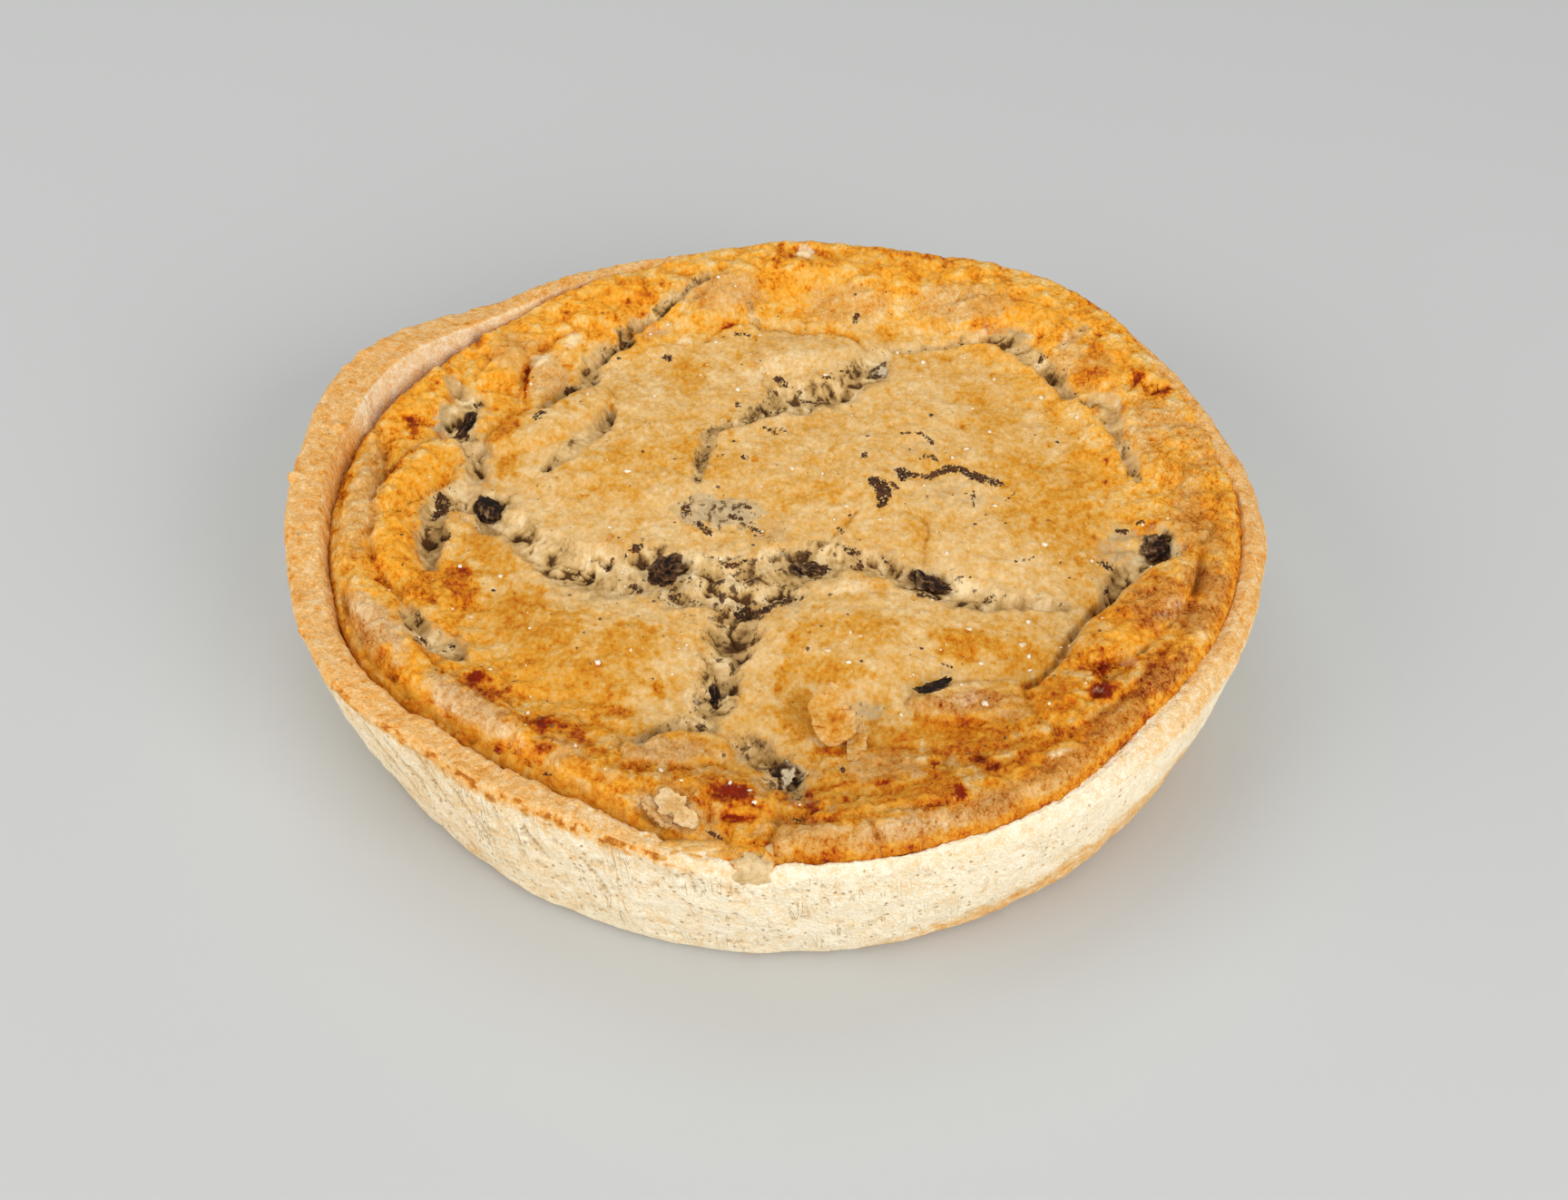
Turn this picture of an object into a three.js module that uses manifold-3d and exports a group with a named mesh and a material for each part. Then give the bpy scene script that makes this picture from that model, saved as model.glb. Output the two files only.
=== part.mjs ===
// A quiche: a baked pastry case filled with custard that has puffed up round its edge and cracked across
// the middle, with pieces of mushroom lying in the cracks.
// Millimetres, +Z up. The origin is the middle of the flat underside, and -Y is the front.

import * as THREE from "three";
import { mergeVertices } from "three/addons/utils/BufferGeometryUtils.js";
import Module from "manifold-3d";

const wasm = await Module();
wasm.setup();
const { clamp, degToRad, euclideanModulo, lerp, smoothstep } = THREE.MathUtils;

// Pastry case, at its mean before the local changes below
const RIM_RADIUS = 120;
const RIM_OVAL = 2.8; // how much the radius grows to the sides and shrinks to the front and back
const RIM_HEIGHT = 40;
const RIM_WIDTH = 6; // thickness of the pastry at the rim
const RIM_ROUND = 2.6; // drop from the top of the rim to its two shoulders
const RIM_CROWN_OUTER = 0.25; // where the flat of the rim starts and ends, as shares of its width
const RIM_CROWN_INNER = 0.7;
const RIM_WAVES = [
  { count: 7, turn: 40, size: 0.5 },
  { count: 12, turn: 110, size: 0.4 },
];
const FOOT_RADIUS = 110;
const FOOT_SHIFT = 2; // the foot is a little off centre, towards FOOT_SHIFT_AT degrees
const FOOT_SHIFT_AT = 330;
const FOOT_ROUND = 2.4;
const WALL_THICKNESS = 7; // at the foot
const WALL_BULGE = 1.2;
const FLOOR_THICKNESS = 5;

// Local changes of the foot and the rim: where (degrees), over how many degrees, and by how much
const FOOT_SWELLS = [{ at: 206, spread: 12, out: 2.2 }];
const RIM_SWELLS = [
  { at: 153, spread: 18, out: 9, up: 2, thick: 6 }, // flared corner at the back left
  { at: 185, spread: 24, out: 2, up: 0.8, thick: 3.5 },
  { at: 224, spread: 6, out: -2, up: 0, thick: -1.2 }, // narrow and drawn in at the front left
  { at: 226, spread: 20, out: -2.5, up: 0, thick: 2.5 },
  { at: 243, spread: 13, out: -4.2, up: 0, thick: 0 },
  { at: 267.5, spread: 3.2, out: -0.4, up: -4, thick: 0 }, // broken notch at the front
  { at: 278, spread: 8, out: 0, up: 0, thick: -2.1 },
  { at: 302, spread: 30, out: 0, up: -0.6, thick: -3 },
  { at: 321, spread: 17, out: -2, up: 0, thick: 3.2 },
  { at: 356, spread: 18, out: 1.6, up: -0.6, thick: 1 },
  { at: 48, spread: 19, out: 6.2, up: -0.4, thick: -2 },
  { at: 84, spread: 24, out: 1.6, up: -0.8, thick: -3 },
  { at: 112, spread: 13, out: -2, up: -0.4, thick: -0.6 },
];

// Custard
const GAP = 0.3; // clear space between the custard and what it touches
const TOP_RINGS = 28;
const RING_STEP = 6; // points that each ring of the top has more than the ring inside it
const EDGE_POINTS = RING_STEP * TOP_RINGS;
const MIDDLE_HEIGHT = 35; // the sunken middle
const RING_INNER = 0.7; // where the puffed edge starts and is fully up, as shares of the custard's radius
const RING_CREST = 0.9;
const RING_RISE = 5;
const SHOULDER = 0.945; // where the puffed edge turns down to the pastry
const SHOULDER_DROP = 3.2;
const RING_SWELLS = [
  { at: 185, spread: 40, rise: -1.2, drop: 2 }, // shrunk away from the rim on the left
  { at: 225, spread: 22, rise: -0.5, drop: 1.2 },
  { at: 315, spread: 45, rise: 0.8, drop: -2 }, // leans on the rim on the right and at the front
  { at: 80, spread: 35, rise: 1.5, drop: -2 },
];
const LUMPS = [
  { x: 0.13, y: 0.05, turn: 0.4, size: 0.45 },
  { x: -0.06, y: 0.15, turn: 2.1, size: 0.45 },
  { x: 0.21, y: 0.19, turn: 4.4, size: 0.35 },
];

// Cracks and grooves in the custard, each a smooth line of [x, y, half width]
const TRACE_STEPS = 5; // samples of a line between two of its points
const CRACK_FLOOR = 0.5; // the floor ends and the lip starts at these shares of the half width
const CRACK_LIP = 1.2;
const CRACK_STEEPNESS = 1.6; // most depth or rise for each millimetre of half width
const CRACKS = {
  middle: { depth: 6, line: [[-70, 4, 4], [-56, -9, 6], [-38, -17, 9], [-18, -21, 11], [-2, -22, 10],
    [12, -12, 6.5], [22, -13, 4.5], [41, -23, 6], [55, -26, 5], [72, -29, 2]] },
  fork: { depth: 6, line: [[-10, -31, 7], [-13, -46, 5], [-16, -59, 5], [-21, -71, 5], [-31, -76, 2]] },
  back: { depth: 5, line: [[-21, 18, 2], [-17, 34, 2.5], [-7, 43, 3.5], [6, 52, 6.5], [20, 57, 6],
    [31, 68, 3.5]] },
  backRight: { depth: 3.5, line: [[34, 74, 2.5], [62, 77, 3.5], [76, 66, 3], [82, 53, 3], [91, 41, 3.5],
    [94, 20, 2]] },
  backLeft: { depth: 3.5, line: [[-21, 106, 2.5], [-36, 88, 3], [-50, 70, 3.5], [-57, 54, 3.5],
    [-80, 30, 3]] },
  left: { depth: 4.5, line: [[-89, 54, 2.5], [-84, 42, 4], [-82, 28, 4], [-76, 12, 5]] },
  leftFront: { depth: 4, line: [[-87, 14, 4], [-88, 2, 4.5], [-87, -12, 3]] },
  behindFold: { depth: 3.5, line: [[-88, -33, 3.5], [-83, -43, 5], [-76, -49, 3]] },
  rightFront: { depth: 3, line: [[98, -8, 5], [88, -16, 4], [81, -31, 2.5], [69, -48, 2.5], [58, -58, 2]] },
  notch: { depth: 3, line: [[-59, 26, 2.5], [-52, 31, 3], [-47, 40, 1.5]] },
  pocket: { depth: 3, line: [[-6, -78, 4], [3, -85, 6]] },
};

// Folds of skin that stand up from the custard, given the same way
const FOLDS = {
  leftFront: { rise: 3, line: [[-105, -31, 5], [-92, -52, 7], [-75, -68, 7], [-56, -82, 7], [-40, -95, 5]] },
  finger: { rise: 3, line: [[-102, 12, 5], [-93, 22, 7], [-85, 24, 4]] },
  rightInner: { rise: 3, line: [[99, -24, 6], [85, -42, 8], [70, -60, 7], [58, -67, 5]] },
  rightLip: { rise: 1.5, line: [[112, 6, 4], [108, -30, 5], [90, -63, 5], [58, -93, 6], [20, -106, 6]] },
  front: { rise: 2.5, line: [[28, -72, 5], [44, -68, 6], [58, -68, 5]] },
  flake: { rise: 6, line: [[12, -61, 3], [15, -70, 5.5], [18, -81, 3.5]] },
  frontLeft: { rise: 2.5, line: [[-32, -86, 6], [-18, -86, 8], [-4, -96, 6]] },
};

// Pieces of mushroom: middle, turn in degrees, and half sizes
const MUSHROOM_LIFT = 0.4; // how far the middle of a piece stands above the custard, as a share of its height
const MUSHROOM_UNEVEN = 0.12; // size of the bumps, how many go round, and how far they twist from end to end
const MUSHROOM_BUMPS = 3;
const MUSHROOM_TWIST = 4;
const MUSHROOMS = [
  { x: -74, y: 8, turn: -50, length: 7, width: 5, height: 3.5 },
  { x: -83, y: 42, turn: 100, length: 7, width: 3.2, height: 3 },
  { x: -28, y: -15, turn: 60, length: 6, width: 4.8, height: 3.5 },
  { x: 8, y: -14, turn: 10, length: 5.5, width: 3.5, height: 3 },
  { x: 38, y: -20, turn: -40, length: 7, width: 4, height: 3.2 },
  { x: -15, y: -57, turn: 78, length: 6, width: 3, height: 3 },
  { x: 29, y: 66, turn: 60, length: 5, width: 3.6, height: 3 },
  { x: 96, y: -10, turn: 70, length: 5, width: 4, height: 3.2 },
  { x: 2, y: -85, turn: 80, length: 5.5, width: 4, height: 2.6 },
  { x: 37, y: -60, turn: 25, length: 5, width: 2.4, height: 2.4 },
];

const FINISHES = {
  pastry: { color: 0xe8c48c, roughness: 0.8 },
  custard: { color: 0xdca24c, roughness: 0.5 },
  mushroom: { color: 0x3c2c20, roughness: 0.5 },
};
const MERGE_TOLERANCE = 1e-4;

/** Signed angle from one direction to another, from minus half a turn to half a turn. */
function turnBetween(angle, degrees) {
  return euclideanModulo(angle - degToRad(degrees) + Math.PI, 2 * Math.PI) - Math.PI;
}

/** Sum at an angle of one kind of local change. */
function localChange(swells, kind, angle) {
  return swells.reduce((sum, swell) => {
    const away = turnBetween(angle, swell.at) / degToRad(swell.spread);
    return sum + swell[kind] * Math.exp(-away * away);
  }, 0);
}

/** The pastry's main sizes at an angle. */
function rimAt(angle) {
  const wave = RIM_WAVES.reduce((sum, w) => sum + w.size * Math.sin(w.count * angle + degToRad(w.turn)), 0);
  return {
    radius: RIM_RADIUS + RIM_OVAL * Math.cos(2 * angle) + localChange(RIM_SWELLS, "out", angle) + wave,
    height: RIM_HEIGHT + localChange(RIM_SWELLS, "up", angle) + wave,
    width: RIM_WIDTH + localChange(RIM_SWELLS, "thick", angle),
    foot:
      FOOT_RADIUS +
      FOOT_SHIFT * Math.cos(turnBetween(angle, FOOT_SHIFT_AT)) +
      localChange(FOOT_SWELLS, "out", angle),
  };
}

/** Radius of the pastry's inner face at an angle and a height. */
function innerRadius(angle, z) {
  const { radius, height, width, foot } = rimAt(angle);
  const share = (z - FLOOR_THICKNESS) / (height - RIM_ROUND - FLOOR_THICKNESS);
  return lerp(foot - WALL_THICKNESS, radius - width, clamp(share, 0, 1));
}

/** Outline of the pastry at an angle, from the middle of the underside to the middle of the floor. */
function caseSection(angle) {
  const { radius, height, width, foot } = rimAt(angle);
  const shoulder = height - RIM_ROUND;
  const outer = (share) => [
    lerp(foot, radius, share) + WALL_BULGE * Math.sin(Math.PI * share),
    lerp(FOOT_ROUND, shoulder, share),
  ];
  const inner = (share) => {
    const z = lerp(FLOOR_THICKNESS, shoulder, share);
    return [innerRadius(angle, z), z];
  };
  return [
    [0, 0],
    [foot - FOOT_ROUND, 0],
    outer(0),
    outer(1 / 3),
    outer(2 / 3),
    outer(1),
    [radius - RIM_CROWN_OUTER * width, height],
    [radius - RIM_CROWN_INNER * width, height],
    inner(1),
    inner(1 / 2),
    inner(0),
    [0, FLOOR_THICKNESS],
  ];
}

/** A turned skin whose outline changes with the angle. */
function turned(sectionAt, segments) {
  const outline = sectionAt(0).map(([r, z]) => new THREE.Vector2(r, z));
  const skin = new THREE.LatheGeometry(outline, segments);
  const place = skin.getAttribute("position");
  for (let i = 0; i <= segments; i += 1) {
    const angle = ((i % segments) / segments) * 2 * Math.PI;
    sectionAt(angle).forEach(([r, z], j) => {
      place.setXYZ(i * outline.length + j, r * Math.cos(angle), r * Math.sin(angle), z);
    });
  }
  return skin;
}

/** A smooth line over the top of the custard, with a half width that changes along it. */
class Trace {
  constructor(line) {
    const curve = new THREE.CatmullRomCurve3(line.map((point) => new THREE.Vector3(...point)));
    this.samples = curve.getPoints((line.length - 1) * TRACE_STEPS);
  }

  /** Depth or rise at a place of a dent or ridge along the line, full up to `flat` half widths from it. */
  heightAt(x, y, most, flat) {
    let least = Infinity;
    let half = 0;
    for (let k = 1; k < this.samples.length; k += 1) {
      const from = this.samples[k - 1];
      const to = this.samples[k];
      const dx = to.x - from.x;
      const dy = to.y - from.y;
      const along = clamp(((x - from.x) * dx + (y - from.y) * dy) / (dx * dx + dy * dy), 0, 1);
      const halfHere = lerp(from.z, to.z, along);
      const share = Math.hypot(x - from.x - along * dx, y - from.y - along * dy) / halfHere;
      if (share < least) {
        least = share;
        half = halfHere;
      }
    }
    return Math.min(most, CRACK_STEEPNESS * half) * (1 - smoothstep(least, flat, CRACK_LIP));
  }
}

const crackTraces = Object.values(CRACKS).map(({ depth, line }) => ({ depth, trace: new Trace(line) }));
const foldTraces = Object.values(FOLDS).map(({ rise, line }) => ({ rise, trace: new Trace(line) }));

/** How far the puffed edge stands above the middle at an angle, and how far it then drops to the pastry. */
function ringAt(angle) {
  return {
    rise: RING_RISE + localChange(RING_SWELLS, "rise", angle),
    drop: SHOULDER_DROP + localChange(RING_SWELLS, "drop", angle),
  };
}

/** Radius of the custard's upper edge at an angle. */
function edgeRadius(angle) {
  const { rise, drop } = ringAt(angle);
  return innerRadius(angle, MIDDLE_HEIGHT + rise - drop) - GAP;
}

/** Height of the custard's top at a place. */
function topHeight(x, y) {
  const angle = Math.atan2(y, x);
  const share = Math.hypot(x, y) / edgeRadius(angle);
  const over = clamp((share - SHOULDER) / (1 - SHOULDER), 0, 1);
  const { rise, drop } = ringAt(angle);
  const ring = rise * smoothstep(share, RING_INNER, RING_CREST) - drop * (1 - Math.sqrt(1 - over * over));
  const lumps = LUMPS.reduce((sum, l) => sum + l.size * Math.sin(l.x * x + l.y * y + l.turn), 0);
  const folds = foldTraces.map(({ rise: up, trace }) => trace.heightAt(x, y, up, 0));
  const cracks = crackTraces.map(({ depth, trace }) => trace.heightAt(x, y, depth, CRACK_FLOOR));
  const relief = Math.max(...folds) - Math.max(...cracks);
  return MIDDLE_HEIGHT + ring + (1 - over) * (lumps + relief);
}

/** A round slab whose top is a fan of rings, each with six more points than the ring inside it. */
class CustardGeometry extends THREE.BufferGeometry {
  constructor(rings) {
    super();
    const points = [];
    const faces = [];
    const edge = RING_STEP * rings;
    const before = (ring) => 1 + (RING_STEP * ring * (ring - 1)) / 2;
    const onRing = (ring, i) => (ring === 0 ? 0 : before(ring) + (i % (RING_STEP * ring)));

    for (let ring = 0; ring <= rings; ring += 1) {
      const count = Math.max(1, RING_STEP * ring);
      for (let i = 0; i < count; i += 1) {
        const angle = (i / count) * 2 * Math.PI;
        const r = (ring / rings) * edgeRadius(angle);
        const x = r * Math.cos(angle);
        const y = r * Math.sin(angle);
        points.push(x, y, topHeight(x, y));
      }
    }
    for (let ring = 1; ring <= rings; ring += 1) {
      for (let sector = 0; sector < RING_STEP; sector += 1) {
        for (let step = 0; step < ring; step += 1) {
          const outer = sector * ring + step;
          const inner = sector * (ring - 1) + step;
          faces.push(onRing(ring - 1, inner), onRing(ring, outer), onRing(ring, outer + 1));
          if (step < ring - 1) {
            faces.push(onRing(ring - 1, inner), onRing(ring, outer + 1), onRing(ring - 1, inner + 1));
          }
        }
      }
    }

    const rows = [onRing(rings, 0)];
    for (const share of [1, 1 / 2, 0]) {
      rows.push(points.length / 3);
      for (let i = 0; i < edge; i += 1) {
        const angle = (i / edge) * 2 * Math.PI;
        const top = points[3 * onRing(rings, i) + 2];
        const z = lerp(FLOOR_THICKNESS + GAP, Math.min(top, rimAt(angle).height) - RIM_ROUND, share);
        const r = innerRadius(angle, z) - GAP;
        points.push(r * Math.cos(angle), r * Math.sin(angle), z);
      }
    }
    const under = points.length / 3;
    points.push(0, 0, FLOOR_THICKNESS + GAP);
    for (let i = 0; i < edge; i += 1) {
      const next = (i + 1) % edge;
      for (let row = 1; row < rows.length; row += 1) {
        const upper = rows[row - 1];
        const lower = rows[row];
        faces.push(upper + i, lower + i, lower + next, upper + i, lower + next, upper + next);
      }
      const last = rows.at(-1);
      faces.push(last + i, under, last + next);
    }
    this.setAttribute("position", new THREE.Float32BufferAttribute(points, 3));
    this.setIndex(faces);
  }
}

/** One piece of mushroom, an uneven lump half sunk in the custard, larger all round by `grow`. */
function mushroomPiece(piece, index, grow) {
  const lump = new THREE.IcosahedronGeometry(1, 1);
  lump.deleteAttribute("normal");
  lump.deleteAttribute("uv");
  const merged = mergeVertices(lump);
  const place = merged.getAttribute("position");
  for (let k = 0; k < place.count; k += 1) {
    const point = new THREE.Vector3().fromBufferAttribute(place, k);
    const turn = MUSHROOM_BUMPS * Math.atan2(point.y, point.x) + MUSHROOM_TWIST * point.z + index;
    point.multiplyScalar(1 + MUSHROOM_UNEVEN * Math.sin(turn));
    point.multiply(new THREE.Vector3(piece.length + grow, piece.width + grow, piece.height + grow));
    place.setXYZ(k, point.x, point.y, point.z);
  }
  merged.rotateZ(degToRad(piece.turn));
  merged.translate(piece.x, piece.y, topHeight(piece.x, piece.y) + MUSHROOM_LIFT * piece.height);
  return merged;
}

/** A solid from a closed geometry. */
function solid(geometry) {
  const bare = new THREE.BufferGeometry();
  bare.setAttribute("position", geometry.getAttribute("position"));
  bare.setIndex(geometry.getIndex());
  const merged = mergeVertices(bare, MERGE_TOLERANCE);
  const mesh = new wasm.Mesh({
    numProp: 3,
    vertProperties: new Float32Array(merged.getAttribute("position").array),
    triVerts: new Uint32Array(merged.getIndex().array),
  });
  return new wasm.Manifold(mesh);
}

/** A geometry from a solid. */
function skinOf(body) {
  const mesh = body.getMesh();
  const geometry = new THREE.BufferGeometry();
  geometry.setAttribute("position", new THREE.Float32BufferAttribute(mesh.vertProperties, 3));
  geometry.setIndex(new THREE.Uint32BufferAttribute(mesh.triVerts, 1));
  return geometry;
}

/** A named mesh with a material of its own. */
function named(name, geometry, finish) {
  geometry.computeVertexNormals();
  const mesh = new THREE.Mesh(geometry, new THREE.MeshStandardMaterial(finish));
  mesh.name = name;
  return mesh;
}

const custard = MUSHROOMS.reduce(
  (body, piece, index) => body.subtract(solid(mushroomPiece(piece, index, GAP))),
  solid(new CustardGeometry(TOP_RINGS)),
);

const quiche = new THREE.Group();
quiche.name = "quiche";
quiche.add(named("pastry_case", turned(caseSection, EDGE_POINTS), FINISHES.pastry));
quiche.add(named("filling", skinOf(custard), FINISHES.custard));
MUSHROOMS.forEach((piece, index) => {
  quiche.add(named(`mushroom_${index + 1}`, mushroomPiece(piece, index, 0), FINISHES.mushroom));
});

export default quiche;
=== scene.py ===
"""Dress the quiche: its baked pastry case, the cracked custard filling and the mushroom pieces in it.

Shapes are worked out in millimetres in the frame of the solids and turned into metres when a mesh is made.
Places on the top are given on a level chart, the way they appear along the slanting line of sight.
"""

import logging
import math
from dataclasses import dataclass, field
from enum import Enum

import bmesh
import bpy
import numpy as np
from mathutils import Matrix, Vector


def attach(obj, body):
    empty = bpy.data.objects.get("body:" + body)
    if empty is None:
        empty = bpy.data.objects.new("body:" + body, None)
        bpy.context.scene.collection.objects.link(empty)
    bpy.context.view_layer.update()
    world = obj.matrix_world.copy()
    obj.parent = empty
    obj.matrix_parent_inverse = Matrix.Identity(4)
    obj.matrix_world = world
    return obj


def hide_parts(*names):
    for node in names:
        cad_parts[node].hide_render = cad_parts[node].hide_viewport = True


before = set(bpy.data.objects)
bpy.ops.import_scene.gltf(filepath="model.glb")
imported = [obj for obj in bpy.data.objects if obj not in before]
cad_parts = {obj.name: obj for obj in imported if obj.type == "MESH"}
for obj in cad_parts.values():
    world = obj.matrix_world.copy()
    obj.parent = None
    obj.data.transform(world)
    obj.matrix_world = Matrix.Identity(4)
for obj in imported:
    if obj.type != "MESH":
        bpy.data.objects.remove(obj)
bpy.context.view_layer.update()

Array = np.ndarray
Colour = tuple[float, float, float]
Point = tuple[float, float, float]
Pair = tuple[float, float]
Socket = bpy.types.NodeSocket

MM = 0.001
TURN = 2 * math.pi
CHART_LEVEL = 38.0
CHART_SLANT = 1.025

log = logging.getLogger("quiche")


def smoothstep(value: Array, low: float, high: float) -> Array:
    """Return a smooth rise from 0 at low to 1 at high."""
    share = np.clip((value - low) / (high - low), 0.0, 1.0)
    return share * share * (3.0 - 2.0 * share)


def fall(value: Array, low: float, high: float) -> Array:
    """Return a smooth fall from 1 at low to 0 at high."""
    return 1.0 - smoothstep(value, low, high)


def blend(first: Array, second: Array, share: Array) -> Array:
    """Return the value that lies a share of the way from first to second."""
    return first + (second - first) * share


def hump(value: Array, at: float, spread: float) -> Array:
    """Return a smooth bump of height 1 round a value."""
    return np.exp(-(((value - at) / spread) ** 2))


def mound(away: Array, radius: float) -> Array:
    """Return a round rise from 0 at a radius to 1 in the middle."""
    return 1.0 - np.clip(away / radius, 0.0, 1.0) ** 2


def bell(theta: Array, at: float, spread: float) -> Array:
    """Return a smooth bump of height 1 round an angle in degrees."""
    away = (np.degrees(theta) - at + 180.0) % 360.0 - 180.0
    return np.exp(-((away / spread) ** 2))


def chart(y: Array, z: Array) -> Array:
    """Return where a point at height z appears along y on the level chart."""
    return y - (CHART_LEVEL - z) * CHART_SLANT


def soften(rows: Array, times: int) -> Array:
    """Smooth rows, between a first and a last that stay.

    Args:
        rows: Rows of numbers.
        times: How often each is drawn towards its neighbours.

    Returns:
        The smoothed rows.
    """
    rows = rows.copy()
    for _ in range(times):
        rows[1:-1] = 0.25 * (rows[:-2] + rows[2:]) + 0.5 * rows[1:-1]
    return rows


def grid_faces(rows: int, columns: int) -> Array:
    """Return the four-cornered faces between the points of a grid."""
    here = (np.arange(rows - 1)[:, None] * columns + np.arange(columns - 1)[None, :]).ravel()
    return np.stack([here, here + 1, here + columns + 1, here + columns], axis=1)


class Grain:
    """Smooth seeded noise over a plane, in cells of size one."""

    SIZE = 256

    def __init__(self, seed: int) -> None:
        """Draw the tables of one seed."""
        rng = np.random.default_rng(seed)
        angle = rng.uniform(0.0, TURN, self.SIZE)
        self.order = rng.permutation(self.SIZE)
        self.lean = np.stack([np.cos(angle), np.sin(angle)], axis=1)
        self.draws = rng.uniform(0.0, 1.0, (self.SIZE, 3))

    def key(self, i: Array, j: Array, around: int) -> Array:
        """Return the table row of a cell corner.

        Args:
            i: Cell numbers along x.
            j: Cell numbers along y.
            around: Cells after which x repeats, or 0 for none.

        Returns:
            Row numbers in the tables.
        """
        if around:
            i = np.mod(i, around)
        return self.order[(self.order[np.mod(i, self.SIZE)] + j) % self.SIZE]

    def smooth(self, x: Array, y: Array, around: int = 0) -> Array:
        """Return noise from about -1 to 1.

        Args:
            x: Places along x, in cells.
            y: Places along y, in cells.
            around: Cells after which x repeats, or 0 for none.

        Returns:
            The noise at each place.
        """
        i = np.floor(x).astype(int)
        j = np.floor(y).astype(int)
        u = x - i
        v = y - j
        ease_u = u * u * u * (u * (u * 6.0 - 15.0) + 10.0)
        ease_v = v * v * v * (v * (v * 6.0 - 15.0) + 10.0)
        corners = []
        for over in (0, 1):
            for across in (0, 1):
                lean = self.lean[self.key(i + across, j + over, around)]
                corners.append(lean[..., 0] * (u - across) + lean[..., 1] * (v - over))
        low = blend(corners[0], corners[1], ease_u)
        high = blend(corners[2], corners[3], ease_u)
        return 1.5 * blend(low, high, ease_v)

    def layers(self, x: Array, y: Array, count: int = 3, around: int = 0) -> Array:
        """Return noise of several sizes, each half as large and half as strong as the one before.

        Args:
            x: Places along x, in cells of the largest size.
            y: Places along y, in cells of the largest size.
            count: Number of sizes.
            around: Largest cells after which x repeats, or 0 for none.

        Returns:
            The noise at each place.
        """
        total = np.zeros(np.broadcast(x, y).shape)
        for level in range(count):
            finer = 2**level
            total += self.smooth(x * finer, y * finer + 31.7 * level, around * finer) / finer
        return total

    def spots(self, x: Array, y: Array, around: int = 0) -> tuple[Array, Array]:
        """Return the distance to the nearest of many scattered points, and that point's own draw.

        Args:
            x: Places along x, in cells with one point each.
            y: Places along y, in cells.
            around: Cells after which x repeats, or 0 for none.

        Returns:
            Distances in cells, and draws from 0 to 1.
        """
        i = np.floor(x).astype(int)
        j = np.floor(y).astype(int)
        best = np.full(np.broadcast(x, y).shape, 9.0)
        draw = np.zeros(best.shape)
        for over in (-1, 0, 1):
            for across in (-1, 0, 1):
                cell = self.draws[self.key(i + across, j + over, around)]
                away = np.hypot(x - i - across - cell[..., 0], y - j - over - cell[..., 1])
                draw = np.where(away < best, cell[..., 2], draw)
                best = np.minimum(best, away)
        return best, draw


@dataclass(frozen=True)
class Trace:
    """A smooth line over the top, as points of x, y and half width on the chart."""

    points: tuple[Point, ...]
    steps: int = 6

    def path(self) -> Array:
        """Return samples of the line as rows of x, y and half width."""
        ends = np.array([self.points[0], *self.points, self.points[-1]], float)
        share = np.linspace(0.0, 1.0, self.steps, endpoint=False)[:, None]
        runs = []
        for a, b, c, d in zip(ends, ends[1:], ends[2:], ends[3:]):
            cubic = 3.0 * (b - c) + d - a
            square = 2.0 * a - 5.0 * b + 4.0 * c - d
            runs.append(b + 0.5 * share * (c - a + share * (square + share * cubic)))
        runs.append(ends[-1:])
        return np.concatenate(runs)

    def reach(self, x: Array, y: Array, margin: float) -> tuple[Array, Array, Array, Array]:
        """Find the points of the top that lie near the line.

        Args:
            x: Places along x.
            y: Places along y on the chart.
            margin: How many half widths to look from the line.

        Returns:
            Which points are near, their distances in half widths, their lengths along the line, and their
            offsets from it with a sign.
        """
        path = self.path()
        pad = path[:, 2].max() * margin
        low = path[:, :2].min(0) - pad
        high = path[:, :2].max(0) + pad
        near = np.nonzero((x > low[0]) & (x < high[0]) & (y > low[1]) & (y < high[1]))[0]
        px = x[near]
        py = y[near]
        share = np.full(near.size, 99.0)
        along = np.zeros(near.size)
        side = np.zeros(near.size)
        run = 0.0
        for start, end in zip(path, path[1:]):
            step = end[:2] - start[:2]
            length = max(float(np.hypot(*step)), 1e-6)
            part = np.clip(((px - start[0]) * step[0] + (py - start[1]) * step[1]) / length**2, 0.0, 1.0)
            off_x = px - start[0] - part * step[0]
            off_y = py - start[1] - part * step[1]
            here = np.hypot(off_x, off_y) / blend(start[2], end[2], part)
            nearer = here < share
            share = np.where(nearer, here, share)
            along = np.where(nearer, run + part * length, along)
            side = np.where(nearer, (step[0] * off_y - step[1] * off_x) / length, side)
            run += length
        return near, share, along, side


@dataclass(frozen=True)
class Crack:
    """An open crack or groove in the custard: its depth, how open and how pale it looks, and its line."""

    depth: float
    bare: float
    # Paleness of the curd inside; set low in the fork and the narrow grooves, partly painted shade.
    tone: float
    line: Trace


@dataclass(frozen=True)
class Fold:
    """A roll of skin that stands up from the custard."""

    rise: float
    line: Trace


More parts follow.
